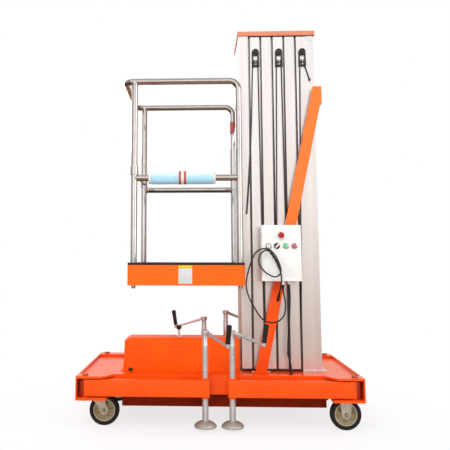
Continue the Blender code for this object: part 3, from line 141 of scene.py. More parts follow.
def ring_profile(inner, outer, low, high):
    """The profile of a washer, or of a plain disc where inner is zero."""
    return [(inner, low), (outer, low), (outer, high), (inner, high)]


def lifted(profile, height):
    """A profile moved along its axis."""
    return [(radius, height + level) for radius, level in profile]


def tube(path, radius, sides=14, reference=(0.60, 0.55, 0.58)):
    """A tube: point(u, v) = path(v) + r(v) (cos u side(v) + sin u up(v)), closed by flat ends."""
    path = np.array(path, float)
    way = unit(np.gradient(path, axis=0))
    side = unit(np.cross(way, reference))
    up = np.cross(way, side)
    angle = around(sides)[None, :, None]
    radius = np.broadcast_to(radius, len(path))[:, None, None]
    return closed_grid(path[:, None] + radius * (np.cos(angle) * side[:, None] + np.sin(angle) * up[:, None]))


def slab(outline, low, high, edge=0.001, axis="Z", steps=2):
    """A plate: its outline is carried from low to high, and drawn in along a quarter circle at both
    rims. Each point moves along the bisector of its two edges, so all edges move in by as much."""
    outline = np.array(outline, float)
    after = unit(np.roll(outline, -1, axis=0) - outline)
    if np.sum(outline[:, 0] * np.roll(outline[:, 1], -1) - outline[:, 1] * np.roll(outline[:, 0], -1)) < 0:
        after = -after
    normal = np.stack([after[:, 1], -after[:, 0]], axis=1)
    before = np.roll(normal, 1, axis=0)
    out = (normal + before) / (1.0 + np.sum(normal * before, axis=1, keepdims=True))
    turn = np.linspace(0.0, pi / 2, steps + 1)
    inset = edge * (1.0 - np.sin(turn))
    rise = edge * (1.0 - np.cos(turn))
    inset = np.concatenate([inset, inset[::-1]])[:, None, None]
    level = np.concatenate([low + rise, high - rise[::-1]])
    plane = outline[None] - inset * out[None]
    return closed_grid(in_space(plane[..., 0], plane[..., 1], level[:, None], axis))


def corner_arcs(corner, back, on, radius, steps):
    """Arcs in place of corners, given the edges back and on from each corner: an arc starts and ends where
    its circle touches the two edges, and its points turn evenly from one touching radius to the other."""
    back, on = unit(back), unit(on)
    half = np.arccos(np.clip(np.sum(back * on, axis=1), -1, 1))[:, None] / 2
    middle = corner + unit(back + on) * radius / np.sin(half)
    first = (corner + back * radius / np.tan(half) - middle)[:, None]
    last = (corner + on * radius / np.tan(half) - middle)[:, None]
    share = np.linspace(0, 1, steps + 1)[None, :, None]
    sweep = (pi - 2 * half)[:, None]
    swing = np.sin((1 - share) * sweep) * first + np.sin(share * sweep) * last
    return middle[:, None] + swing / np.sin(sweep)


def rounded(corners, radius, steps=4):
    """A closed outline whose corners become arcs."""
    corners = np.array(corners, float)
    radius = np.broadcast_to(radius, len(corners))[:, None]
    back = np.roll(corners, 1, axis=0) - corners
    on = np.roll(corners, -1, axis=0) - corners
    return corner_arcs(corners, back, on, radius, steps).reshape(-1, 2)


def rectangle(first, second, radius, steps=4):
    """A rounded rectangle between two pairs of limits."""
    (a, b), (c, d) = first, second
    return rounded([(a, c), (b, c), (b, d), (a, d)], radius, steps)


def arc(x, y, radius, degrees):
    """Points on a circle round (x, y) at the given angles."""
    angle = np.radians(degrees)
    return np.stack([x + radius * np.cos(angle), y + radius * np.sin(angle)], axis=1)


def hexagon(x, y, radius, first=0):
    """The six corners of a nut or of a bolt's head, the first at the given angle in degrees."""
    return arc(x, y, radius, np.arange(0, 360, 60) + first)


def bent(corners, radius, steps=8):
    """An open chain in space whose inner corners become arcs."""
    corners = np.array(corners, float)
    inner = corners[1:-1]
    arcs = corner_arcs(inner, corners[:-2] - inner, corners[2:] - inner, radius, steps)
    return np.vstack([corners[:1], arcs.reshape(-1, 3), corners[-1:]])


def straight(start, end, count=2):
    """Evenly spaced points from one place to another."""
    share = np.linspace(0, 1, count)[:, None]
    return np.array(start, float) * (1 - share) + np.array(end, float) * share


def piece(name, shells, material, body, replaces=(), sharp=35.0):
    """Puts several closed surfaces into one mesh, turns its faces outwards, and lets it ride."""
    places = np.vstack([points for points, _ in shells])
    starts = np.cumsum([0] + [len(points) for points, _ in shells])
    faces = [[corner + start for corner in face]
             for start, (_, shell) in zip(starts, shells) for face in shell]
    mesh = bpy.data.meshes.new(name)
    mesh.from_pydata(places.tolist(), [], faces)
    shape = bmesh.new()
    shape.from_mesh(mesh)
    bmesh.ops.remove_doubles(shape, verts=shape.verts, dist=1e-6)
    bmesh.ops.dissolve_degenerate(shape, dist=1e-7, edges=shape.edges)
    bmesh.ops.recalc_face_normals(shape, faces=shape.faces)
    shape.to_mesh(mesh)
    shape.free()
    mesh.shade_smooth()
    mesh.set_sharp_from_angle(angle=np.radians(sharp))
    mesh.materials.append(material)
    thing = bpy.data.objects.new(name, mesh)
    bpy.context.scene.collection.objects.link(thing)
    if replaces:
        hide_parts(*replaces)
    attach(thing, body)
    print(name, len(mesh.polygons), "faces")
    return thing

# %% [markdown]
# ## The finishes
# A finish is named for the real material and the way its surface was made. Its colour is written as on
# a paint card and turned to linear light by one function. Each finish then gets what the eye looks for:
# the orange peel of powder coat, the drawn streaks of an extrusion, the cloudy look of zinc. Image
# textures could carry this, but patterns worked out from real sizes stay sharp from any distance.

# %% Helpers for finishes
MM = 0.001
NOISE_DETAIL, NOISE_ROUGHNESS = 3.0, 0.55
CLOUD_LOW, CLOUD_HIGH = 0.30, 0.70


def linear(code):
    """An sRGB hex colour in linear light: a straight part near black, a power of 2.4 above it."""
    value = np.array([int(code[i:i + 2], 16) for i in (1, 3, 5)]) / 255
    value = np.where(value <= 0.04045, value / 12.92, ((value + 0.055) / 1.055) ** 2.4)
    return (*value.tolist(), 1.0)


def add(tree, kind, settings=None, links=None):
    """Adds a node, sets its inputs or its own options by name, and links inputs, by name or number."""
    made = tree.nodes.new(kind)
    for name, value in (settings or {}).items():
        if name in made.inputs:
            made.inputs[name].default_value = value
        else:
            setattr(made, name, value)
    for name, socket in (links or {}).items():
        tree.links.new(made.inputs[name], socket)
    return made


def pattern(tree, size_mm, stretch=(1.0, 1.0, 1.0)):
    """Noise whose grains are about size_mm across, drawn out along the axes with a small stretch."""
    where = add(tree, "ShaderNodeTexCoord")
    place = add(tree, "ShaderNodeMapping", {"Scale": stretch}, {"Vector": where.outputs["Object"]})
    return add(tree, "ShaderNodeTexNoise",
               {"Scale": 1.0 / (size_mm * MM), "Detail": NOISE_DETAIL, "Roughness": NOISE_ROUGHNESS},
               {"Vector": place.outputs["Vector"]}).outputs["Fac"]


def finish(name, light, dark, rough, metallic=0.0, cloud_mm=60.0, stretch=(1.0, 1.0, 1.0),
           grain_mm=2.0, grain_stretch=(1.0, 1.0, 1.0), bump=0.1, bump_mm=0.05, **shader_values):
    """A Principled surface: two shades mixed by slow noise, roughness that varies with it between
    two values, and a fine bump of the given grain and depth."""
    surface = bpy.data.materials.new(name)
    surface.use_nodes = True
    tree = surface.node_tree
    shader = tree.nodes["Principled BSDF"]
    cloud = pattern(tree, cloud_mm, stretch)
    ramp = add(tree, "ShaderNodeValToRGB", links={"Fac": cloud})
    elements = ramp.color_ramp.elements
    elements[0].position, elements[1].position = CLOUD_LOW, CLOUD_HIGH
    elements[0].color, elements[1].color = linear(dark), linear(light)
    tree.links.new(shader.inputs["Base Color"], ramp.outputs["Color"])
    grain = pattern(tree, grain_mm, grain_stretch)
    gloss = add(tree, "ShaderNodeMapRange", {"To Min": rough[0], "To Max": rough[1]}, {"Value": grain})
    tree.links.new(shader.inputs["Roughness"], gloss.outputs["Result"])
    relief = add(tree, "ShaderNodeBump", {"Strength": bump, "Distance": bump_mm * MM}, {"Height": grain})
    tree.links.new(shader.inputs["Normal"], relief.outputs["Normal"])
    shader.inputs["Metallic"].default_value = metallic
    for key, value in shader_values.items():
        shader.inputs[key.replace("_", " ")].default_value = value
    print("finish:", name)
    return surface


# %% [markdown]
# Powder coat is sprayed dry and baked, so it is even in colour, half glossy, and its surface rolls
# gently like orange peel, about 4 mm from crest to crest. The skirt's batch is a little yellower than
# the base's. The pan under the deck is given a dull dark red, which is painted shade: it stands in for the
# shade under the deck. The cover of the power unit is moulded in a colour near the base's, and it shines
# less than the steel around it. The arms' round tails between their ears are painted darker, as painted
# shade, and the bolts there are worn by spanners.

# %% Paints
ORANGE_PEEL = {"grain_mm": 4.0, "bump": 0.10, "bump_mm": 0.25}
orange_paint = finish("powder coated steel orange", "#FA5606", "#F34F04", (0.20, 0.32), cloud_mm=160,
                      **ORANGE_PEEL, Specular_IOR_Level=0.30)
skirt_paint = finish("powder coated steel light orange", "#FB6A06", "#F66404", (0.32, 0.44),
                     cloud_mm=140, **ORANGE_PEEL, Specular_IOR_Level=0.30)
# painted shade: the pan's dark red stands for the shade under the deck
pan_painted_shade = finish("dark red painted shade under the deck", "#8E2604", "#782002", (0.48, 0.62), cloud_mm=45, grain_mm=3.0,
                bump=0.2, bump_mm=0.3, Specular_IOR_Level=0.05)
cover_paint = finish("moulded cover orange", "#FB6006", "#F55604", (0.34, 0.46), cloud_mm=160,
                     **ORANGE_PEEL, Specular_IOR_Level=0.16)
# painted shade: the arms' tails between the ears are darkened
tail_painted_shade = finish("powder coat darkened as painted shade", "#A52A06", "#8C2205", (0.50, 0.66), cloud_mm=14,
                      grain_mm=1.5, bump=0.10, bump_mm=0.05)
painted_bolt = finish("painted bolt worn by the spanner", "#C9744F", "#A3563A", (0.45, 0.62), 0.25,
                      cloud_mm=8, grain_mm=1.5, bump=0.1, bump_mm=0.05)

# %% [markdown]
# The metals differ by how they were made. The mast is drawn and anodised, so fine streaks run along it.
# The rails are polished and chromed, almost a mirror. The jacks and cranks are zinc plated, which is
# cloudier, their feet are dull, and the forks are passivated, which makes zinc warmer. The hubs are cast
# and enamelled a warm grey, and their rims are turned bare on a lathe.

# %% Metals
anodised_aluminium = finish("drawn anodised aluminium", "#F2F0EE", "#E7E3E0", (0.28, 0.42), 1.0,
                            cloud_mm=30, stretch=(1.0, 1.0, 0.02), grain_mm=2.5,
                            grain_stretch=(1.0, 1.0, 0.01), bump=0.15, bump_mm=0.05)
chromed_tube = finish("polished chromed tube", "#D4CFCD", "#C6C0BD", (0.05, 0.11), 1.0, cloud_mm=50,
                      grain_mm=5.0, bump=0.01, bump_mm=0.01)
zinc_plate = finish("bright zinc plate", "#F2F5F7", "#D3D6D7", (0.26, 0.42), 0.82, cloud_mm=7,
                    grain_mm=2.0, bump=0.15, bump_mm=0.08)
dull_zinc = finish("dull zinc casting", "#D8D8D1", "#B4B3A9", (0.48, 0.64), 0.75, cloud_mm=9,
                   grain_mm=1.2, bump=0.10, bump_mm=0.08)
fork_zinc = finish("passivated zinc pressing", "#D9D8C7", "#BDBAA6", (0.40, 0.56), 0.85, cloud_mm=10,
                   grain_mm=1.5, bump=0.10, bump_mm=0.06)
hub_enamel = finish("enamelled casting warm grey", "#B0A583", "#9A8F69", (0.35, 0.50), 0.35,
                    cloud_mm=14, grain_mm=1.5, bump=0.2, bump_mm=0.1)
machined_rim = finish("machined casting rim", "#D2CCBC", "#B8B09B", (0.38, 0.52), 0.55, cloud_mm=12,
                      grain_mm=1.2, bump=0.10, bump_mm=0.05)

# %% [markdown]
# Rubber and plastic are dark and scatter light. The tyre's rubber carries dust, the grips and switch
# parts are injection moulded with a fine grain, and the box is enamelled steel. The foam roll's closed
# cells show as tiny dimples through its film.

# %% Rubber, plastic, enamel and foam
tyre_rubber = finish("moulded tyre rubber", "#1A1918", "#100F0F", (0.62, 0.82), cloud_mm=12,
                     grain_mm=1.2, bump=0.35, bump_mm=0.2)
cable_rubber = finish("extruded cable rubber", "#201E1D", "#141312", (0.42, 0.56), cloud_mm=20,
                      grain_mm=1.0, bump=0.15, bump_mm=0.05)
black_plastic = finish("moulded black plastic", "#1C1B1B", "#131212", (0.34, 0.48), cloud_mm=15,
                       grain_mm=0.8, bump=0.2, bump_mm=0.06)
deck_rubber = finish("ribbed deck rubber", "#2A2827", "#1D1B1B", (0.60, 0.80), cloud_mm=30,
                     grain_mm=1.5, bump=0.4, bump_mm=0.3)
white_enamel = finish("white stove enamel", "#F6F4F1", "#EFECE8", (0.24, 0.34), cloud_mm=80,
                      grain_mm=3.0, bump=0.06, bump_mm=0.1)
red_plastic = finish("moulded red plastic", "#B8152A", "#A21023", (0.22, 0.32), cloud_mm=10,
                     grain_mm=0.8, bump=0.08, bump_mm=0.04)
red_lens = finish("translucent red lens", "#DC6574", "#CB5263", (0.20, 0.30), cloud_mm=8, grain_mm=1.0,
                  Transmission_Weight=0.10)
# painted highlight: the caps' pale mint stands for glare on the green plastic
green_plastic = finish("green plastic with painted glare", "#7FDB9B", "#68CD88", (0.22, 0.32), cloud_mm=10,
                       grain_mm=0.8, bump=0.08, bump_mm=0.04)
cyan_foam = finish("closed cell foam cyan", "#B6E1F4", "#A4D8F0", (0.42, 0.58), cloud_mm=25,
                   grain_mm=1.6, bump=0.35, bump_mm=0.3)
film_white = finish("milky polythene film", "#F1E9E4", "#E2D8D2", (0.28, 0.42), cloud_mm=9,
                    grain_mm=3.0, bump=0.3, bump_mm=0.4)
plate_grey = finish("lacquered aluminium plate", "#DAD9DB", "#D0CFD1", (0.30, 0.40), cloud_mm=12,
                    grain_mm=1.0, bump=0.05, bump_mm=0.03)
paper_white = finish("laminated paper sheet", "#F3F0EE", "#ECE8E6", (0.30, 0.40), cloud_mm=30,
                     grain_mm=1.0, bump=0.05, bump_mm=0.03)
plate_yellow = finish("lacquered aluminium plate yellow", "#E8D21E", "#DCC616", (0.30, 0.40),
                      cloud_mm=12, grain_mm=1.0, bump=0.05, bump_mm=0.03)
red_tape = finish("red polythene tape", "#C2635C", "#A9504A", (0.30, 0.42), cloud_mm=6, grain_mm=2.0,
                  bump=0.2, bump_mm=0.1)

# %% [markdown]
# The upper part of the brace and the cap are painted paler and yellower than the base: painted light, for
# the stronger light that falls near the top. The brace's paint therefore changes with height, and the cap
# gets the paler shade all over. The same helper paints light on the upper part of the gap strips, and a
# painted sheen on the crest of the foam roll.

# %% Paint with painted light
BORDER_NOISE_MM = 40.0
# painted light: the cap's paler orange stands for the stronger light near the top
cap_painted_light = finish("powder coat with painted light", "#DE8E71", "#D58265", (0.34, 0.46), cloud_mm=120,
                   **ORANGE_PEEL, Specular_IOR_Level=0.30)


def graded(base, name, shade, low, high, wobble=0.0):
    """A copy of a finish whose colour passes over into another shade between two heights. The height
    is shifted up and down by slow noise, so that the border isn't a straight line."""
    surface = base.copy()
    surface.name = name
    tree = surface.node_tree
    shader = tree.nodes["Principled BSDF"]
    own_colour = shader.inputs["Base Color"].links[0].from_socket
    spot = add(tree, "ShaderNodeTexCoord")
    height = add(tree, "ShaderNodeSeparateXYZ", links={"Vector": spot.outputs["Object"]}).outputs["Z"]
    shift = add(tree, "ShaderNodeMapRange", {"To Min": -wobble, "To Max": wobble},
                {"Value": pattern(tree, BORDER_NOISE_MM)})
    level = add(tree, "ShaderNodeMath", {"operation": "ADD"}, {0: height, 1: shift.outputs["Result"]})
    share = add(tree, "ShaderNodeMapRange", {"From Min": low, "From Max": high},
                {"Value": level.outputs["Value"]})
    mixed = add(tree, "ShaderNodeMixRGB", {"Color2": linear(shade)},
                {"Fac": share.outputs["Result"], "Color1": own_colour})
    tree.links.new(shader.inputs["Base Color"], mixed.outputs["Color"])
    return surface


# painted light: the brace's orange turns paler above 0.70 m, where the light is stronger
brace_painted_light = graded(orange_paint, "powder coated steel with painted light above", "#F4772E", 0.70, 1.10)
# painted shade and light: the black strips stand for the shade in the gaps, paler towards the top
strip_painted_shade_and_light = graded(black_plastic, "black strip of painted shade, painted light above", "#C4BFC4", 1.05, 1.70)
# painted sheen: the foam roll's crest turns white, a highlight painted on the foam
foam_painted_sheen = graded(cyan_foam, "closed cell foam with painted sheen above", "#F4F8FB", 1.212, 1.238, 0.007)

# the dark_red_paint slot gets the pan's painted shade
FINISH_OF_SLOT = {
    "orange_paint": orange_paint, "skirt_paint": skirt_paint, "dark_red_paint": pan_painted_shade,
    "anodised_aluminium": anodised_aluminium, "chromed_tube": chromed_tube, "zinc_plate": zinc_plate,
    "cast_hub": hub_enamel, "tyre_rubber": tyre_rubber, "cable_rubber": cable_rubber,
    "black_plastic": black_plastic, "white_enamel": white_enamel, "red_plastic": red_plastic,
    "green_plastic": green_plastic, "cyan_foam": cyan_foam, "deck_rubber": deck_rubber,
}
for row in frame["record"]["subparts"]:
    mesh = NODES[row["node"]].data
    mesh.materials.clear()
    mesh.materials.append(FINISH_OF_SLOT[row["material_slot"]])
# the brace and the cap get their painted light
NODES["mast_brace"].material_slots[0].material = brace_painted_light
NODES["mast_cap"].material_slots[0].material = cap_painted_light
print("finishes:", len(bpy.data.materials))

# %% [markdown]
# ## The hanging lead
# The control box's lead is about 1.3 m of 7 mm rubber cable. It leaves the gland straight down, makes one
# big loop over to the left and a small one in front of the box, where a few turns of tape hold it, and
# ends in its plug. A cable keeps its length, so its route is a chain of points through which a smooth
# curve runs, and a tube is carried along that curve.

# %% The hanging lead
CORD_RADIUS = 0.0035
CORD_POINTS = [
    (0.3230, -0.2700, 0.6757), (0.3230, -0.2700, 0.655),
    (0.3270, -0.2790, 0.622), (0.3310, -0.2920, 0.574),
    (0.3177, -0.3030, 0.5246), (0.2770, -0.3060, 0.4965), (0.2208, -0.3060, 0.5082),
    (0.1750, -0.3060, 0.5718), (0.1460, -0.3060, 0.6359), (0.1400, -0.3060, 0.690),
    (0.1525, -0.3060, 0.749), (0.1726, -0.3060, 0.806), (0.1935, -0.3060, 0.8386),
    (0.2264, -0.3070, 0.8530), (0.2590, -0.3090, 0.8455), (0.2840, -0.3130, 0.8183),
    (0.3010, -0.3150, 0.7817), (0.3090, -0.3160, 0.7454), (0.2975, -0.3165, 0.7225),
    (0.2716, -0.3170, 0.7170), (0.2315, -0.3180, 0.7400), (0.2053, -0.3190, 0.7740),
    (0.2020, -0.3200, 0.8000), (0.2105, -0.3210, 0.8262), (0.2320, -0.3230, 0.8440),
    (0.2530, -0.3250, 0.8400), (0.2710, -0.3260, 0.8180), (0.2870, -0.3265, 0.7900),
    (0.3000, -0.3270, 0.7560), (0.3100, -0.3265, 0.7110), (0.3060, -0.3170, 0.6680),
    (0.3020, -0.3100, 0.6450),
]


def smooth_route(points, spacing, steps=24):
    """Points at an even spacing on the curve that passes each point along the line between its two
    neighbours: a cubic of the share t between two points, worked out for all spans at once."""
    points = np.array(points, float)
    chain = np.vstack([2 * points[0] - points[1], points, 2 * points[-1] - points[-2]])
    a, b, c, d = (chain[i:len(chain) - 3 + i, None] for i in range(4))
    t = np.linspace(0, 1, steps, endpoint=False)[None, :, None]
    curve = 0.5 * (2 * b + (c - a) * t + (2 * a - 5 * b + 4 * c - d) * t ** 2
                   + (3 * b - a - 3 * c + d) * t ** 3)
    curve = np.vstack([curve.reshape(-1, 3), points[-1:]])
    walked = np.concatenate([[0.0], np.cumsum(np.linalg.norm(np.diff(curve, axis=0), axis=1))])
    even = np.linspace(0, walked[-1], max(2, round(walked[-1] / spacing)) + 1)
    return np.stack([np.interp(even, walked, curve[:, i]) for i in range(3)], axis=1)


def route_length(route):
    """The sum of the distances from point to point."""
    return float(np.sum(np.linalg.norm(np.diff(route, axis=0), axis=1)))


NEAR_Y = (0.05, 1.0, 0.03)  # cables run across the front, so a tube's sides are found from this way
lead_route = smooth_route(CORD_POINTS, CORD_RADIUS * 2)
lead = piece("hanging_lead", [tube(lead_route, CORD_RADIUS, 14, NEAR_Y)], cable_rubber, "base",
             ["control_cord"])
PLUG_PROFILE = np.array([(0.0003, 0.0042), (0.004, 0.0046), (0.012, 0.0052), (0.0125, 0.0064),
                         (0.016, 0.0064), (0.0165, 0.0055), (0.020, 0.0055), (0.0205, 0.0066),
                         (0.024, 0.0068), (0.026, 0.0080), (0.046, 0.0080), (0.0500, 0.0072)])
plug_route = lead_route[-1] + PLUG_PROFILE[:, :1] * unit(lead_route[-1] - lead_route[-2])
plug = piece("lead_plug", [tube(plug_route, PLUG_PROFILE[:, 1], 24, NEAR_Y)], black_plastic, "base",
             ["cord_plug"])
RELIEF_RADII = np.array([0.0074, 0.0068, 0.0060, 0.0050, 0.0042])
relief = piece("lead_strain_relief", [tube(lead_route[:len(RELIEF_RADII)], RELIEF_RADII, 20)],
               black_plastic, "base")
WRAP_ENDS = np.array([(0.2600, -0.3255, 0.8330), (0.3000, -0.3270, 0.7560)])
WRAP_RADIUS, WRAP_WAVE, WRAP_STEP = 0.0056, 0.0006, 2.1
away = np.linalg.norm(lead_route[:, None] - WRAP_ENDS, axis=2)
wrap_start, wrap_end = np.argmin(away, axis=0)
wrap_route = lead_route[wrap_start:wrap_end]
wrap_radii = WRAP_RADIUS + WRAP_WAVE * np.sin(np.arange(len(wrap_route)) * WRAP_STEP)
wrap = piece("lead_tape_wrap", [tube(wrap_route, wrap_radii, 16, NEAR_Y)], cable_rubber, "base")
print("lead is", round(route_length(lead_route), 3), "m long")

# %% [markdown]
# ## The studio
# The floor is pale and fades into a white surround, so that no horizon shows. Light comes from a broad
# softbox over the camera, a weaker one at the right and a third one behind, which draws the edges. What
# metal mirrors matters as much as the lamps: it sees a room that is bright in front, dim at the sides,
# warm behind and lighter above the floor, with two dark standing bands, so that tubes and strips get dark
# lines beside their bright middles. The front softbox is kept out of that mirror image. A photograph of
# a studio could do this, but one ramp along each axis is easier to match to what the metal shows.

# %% The surround
ROOM_STRENGTH = 1.4
SOFT_STRENGTH = 0.74
world = bpy.data.worlds.new("studio")
bpy.context.scene.world = world
world.use_nodes = True
tree = world.node_tree
tree.nodes.clear()
ray = add(tree, "ShaderNodeLightPath")
way = add(tree, "ShaderNodeTexCoord")
parts = add(tree, "ShaderNodeSeparateXYZ", links={"Vector": way.outputs["Generated"]})
RISE = [(0.0, "#917564", 1.0), (0.17, "#987661", 1.0), (0.28, "#B29785", 1.0), (0.35, "#B39C8F", 1.0),
        (0.425, "#F4F3F4", 1.10), (0.48, "#FBFBFC", 1.18), (0.55, "#FDFBFA", 1.05),
        (0.68, "#FCF9F9", 1.0), (0.80, "#FBF8F7", 1.0)]
ROUND_ABOUT = [(0.24, 0.75), (0.38, 0.42), (0.55, 0.30), (0.80, 0.34), (0.90, 0.60)]
STANDING = [(0.04, 1.0), (0.07, 0.40), (0.16, 0.45), (0.20, 1.15), (0.35, 1.0), (0.64, 1.0),
            (0.67, 0.42), (0.72, 0.42), (0.75, 0.95), (0.80, 0.70)]
ROOM = {
    "Z": (-0.40, 0.60, [(place, [lift * value for value in linear(shade)[:3]] + [1.0])
                        for place, shade, lift in RISE]),
    "Y": (-1.0, 1.0, [(0.10, (1.0, 1.0, 1.0, 1.0)),
                      *((place, (level, level * 0.95, level * 0.92, 1.0)) for place, level in ROUND_ABOUT),
                      (0.96, (0.74, 0.66, 0.57, 1.0))]),
    "X": (-1.0, 1.0, [(place, (level, level, level, 1.0)) for place, level in STANDING]),
}
shade_along = {}
for axis, (low, high, stops) in ROOM.items():
    share = add(tree, "ShaderNodeMapRange", {"From Min": low, "From Max": high},
                {"Value": parts.outputs[axis]})
    ramp = add(tree, "ShaderNodeValToRGB", links={"Fac": share.outputs["Result"]})
    elements = ramp.color_ramp.elements
    elements[0].position, elements[1].position = stops[0][0], stops[-1][0]
    elements[0].color, elements[1].color = stops[0][1], stops[-1][1]
    for place, colour in stops[1:-1]:
        stop = elements.new(place)
        stop.color = colour
    shade_along[axis] = ramp.outputs["Color"]
overhead = add(tree, "ShaderNodeMapRange", {"From Min": 0.35, "From Max": 0.85},
               {"Value": parts.outputs["Z"]})
sides = add(tree, "ShaderNodeMixRGB", {"Color2": (0.46, 0.45, 0.44, 1.0)},
            {"Fac": overhead.outputs["Result"], "Color1": shade_along["Y"]})
hall = add(tree, "ShaderNodeMixRGB", {"blend_type": "MULTIPLY", "Fac": 1.0},
           {"Color1": sides.outputs["Color"], "Color2": shade_along["X"]})
seen = add(tree, "ShaderNodeMixRGB", {"blend_type": "MULTIPLY", "Fac": 1.0},
           {"Color1": shade_along["Z"], "Color2": hall.outputs["Color"]})
print("mirrored room:", list(shade_along))

# %% [markdown]
# Not every ray has to see the same surround. The camera sees plain white, shiny surfaces see the room,
# and all other rays meet an even, slightly warm white, so that matt paint is lit softly from all sides.

# %% What each kind of ray sees
mirror = add(tree, "ShaderNodeBackground", {"Strength": ROOM_STRENGTH}, {"Color": seen.outputs["Color"]})
soft = add(tree, "ShaderNodeBackground", {"Color": (1.0, 0.985, 0.97, 1.0), "Strength": SOFT_STRENGTH})
white = add(tree, "ShaderNodeBackground", {"Color": (1.0, 1.0, 1.0, 1.0), "Strength": 1.0})
shiny = add(tree, "ShaderNodeMath", {"operation": "MAXIMUM"},
            {0: ray.outputs["Is Glossy Ray"], 1: ray.outputs["Is Transmission Ray"]})
first = add(tree, "ShaderNodeMixShader",
            links={0: shiny.outputs[0], 1: soft.outputs[0], 2: mirror.outputs[0]})
second = add(tree, "ShaderNodeMixShader",
             links={0: ray.outputs["Is Camera Ray"], 1: first.outputs[0], 2: white.outputs[0]})
add(tree, "ShaderNodeOutputWorld", links={"Surface": second.outputs[0]})
print("world nodes:", len(tree.nodes))


# %% The lamps and the floor
def softbox(name, place, aim, width, height, power, mirrored=True):
    """An area lamp that looks from its place towards a point. It can be kept out of what metal mirrors."""
    lamp = bpy.data.lights.new(name, "AREA")
    lamp.shape = "RECTANGLE"
    lamp.size = width
    lamp.size_y = height
    lamp.energy = power
    holder = bpy.data.objects.new(name, lamp)
    back = unit(np.array(place, float) - np.array(aim, float))
    right = unit(np.cross((0.0, 0.0, 1.0), back))
    up = np.cross(back, right)
    frame_of_lamp = np.eye(4)
    frame_of_lamp[:3, 0], frame_of_lamp[:3, 1], frame_of_lamp[:3, 2] = right, up, back
    frame_of_lamp[:3, 3] = place
    holder.matrix_world = Matrix(frame_of_lamp.tolist())
    holder.visible_glossy = mirrored
    bpy.context.scene.collection.objects.link(holder)
    print(name, power, "W")


MID_HEIGHT = (0.0, 0.0, 0.9)
softbox("front_softbox", (-0.9, -4.4, 3.6), MID_HEIGHT, 3.2, 2.0, 125.0, mirrored=False)
softbox("right_softbox", (3.6, -2.2, 2.0), MID_HEIGHT, 1.6, 2.4, 36.0)
softbox("back_softbox", (-2.4, 3.4, 3.0), MID_HEIGHT, 2.4, 2.0, 50.0)

FLOOR_RADII = (0.0, 0.6, 1.1, 1.5, 1.9)
FADE_FROM, FADE_TO, LEAST_CLEAR = 0.70, 1.35, 0.76
floor_points, floor_faces = turned([(radius, 0.0) for radius in FLOOR_RADII], (0.0, 0.0, 0.0), sides=72)
floor_mesh = bpy.data.meshes.new("floor")
floor_mesh.from_pydata(floor_points.tolist(), [], floor_faces)
floor = bpy.data.objects.new("floor", floor_mesh)
bpy.context.scene.collection.objects.link(floor)
floor_paper = bpy.data.materials.new("matt studio paper")
floor_paper.use_nodes = True
tree = floor_paper.node_tree
shader = tree.nodes["Principled BSDF"]
shader.inputs["Base Color"].default_value = (0.93, 0.93, 0.93, 1.0)
shader.inputs["Roughness"].default_value = 0.9
spot = add(tree, "ShaderNodeTexCoord")
reach = add(tree, "ShaderNodeVectorMath", {"operation": "LENGTH"}, {0: spot.outputs["Object"]})
fade = add(tree, "ShaderNodeMapRange", {"From Min": FADE_FROM, "From Max": FADE_TO, "To Min": LEAST_CLEAR,
                                        "interpolation_type": "SMOOTHSTEP"},
           {"Value": reach.outputs["Value"]})
clear = add(tree, "ShaderNodeBsdfTransparent")
blend = add(tree, "ShaderNodeMixShader",
            links={0: fade.outputs["Result"], 1: shader.outputs[0], 2: clear.outputs[0]})
tree.links.new(tree.nodes["Material Output"].inputs["Surface"], blend.outputs[0])
floor_mesh.materials.append(floor_paper)

# %% [markdown]
# ## Guard rail
# The rail is 32 mm polished tube. One bent length makes both hoops: it rises at the front, turns round
# the platform's far end at the top and comes down at the rear. Two more posts and two middle rails are
# welded to it, and each joint gets a thin bead. Bending machines leave round corners of even radius, so
# the tube is carried along one path of straight runs and arcs.

# %% Guard rail
TUBE_RADIUS = 0.016
POST_X = (-0.417, 0.113)
POST_Y = 0.290
BOTH_SIDES = (-POST_Y, POST_Y)
FOOT_Z = 0.6725
TOP_RAIL_Z = 1.709
MIDDLE_RAIL_Z = 1.209
RAIL_END_X = -0.464
BEND_RADIUS = 0.045
RAIL_SIDES = 28
THINNER = 0.0001  # a tube that meets another is this much thinner, so that no two skins coincide
BEAD = [(TUBE_RADIUS - 0.001, -0.003), (TUBE_RADIUS + 0.001, -0.0022), (TUBE_RADIUS + 0.0016, 0.0),
        (TUBE_RADIUS + 0.001, 0.0022), (TUBE_RADIUS - 0.001, 0.003)]
FOOT_PROFILE = [(0.0, -0.015), (0.0085, -0.015), (0.010, -0.0135), (0.010, -0.004), (0.0135, -0.003),
                (0.0135, 0.001), (0.0, 0.001)]
hoop = bent([(POST_X[1], -POST_Y, FOOT_Z), (POST_X[1], -POST_Y, TOP_RAIL_Z),
             (RAIL_END_X, -POST_Y, TOP_RAIL_Z), (RAIL_END_X, POST_Y, TOP_RAIL_Z),
             (POST_X[1], POST_Y, TOP_RAIL_Z), (POST_X[1], POST_Y, FOOT_Z)], BEND_RADIUS)
rails = [tube(hoop, TUBE_RADIUS, RAIL_SIDES)]
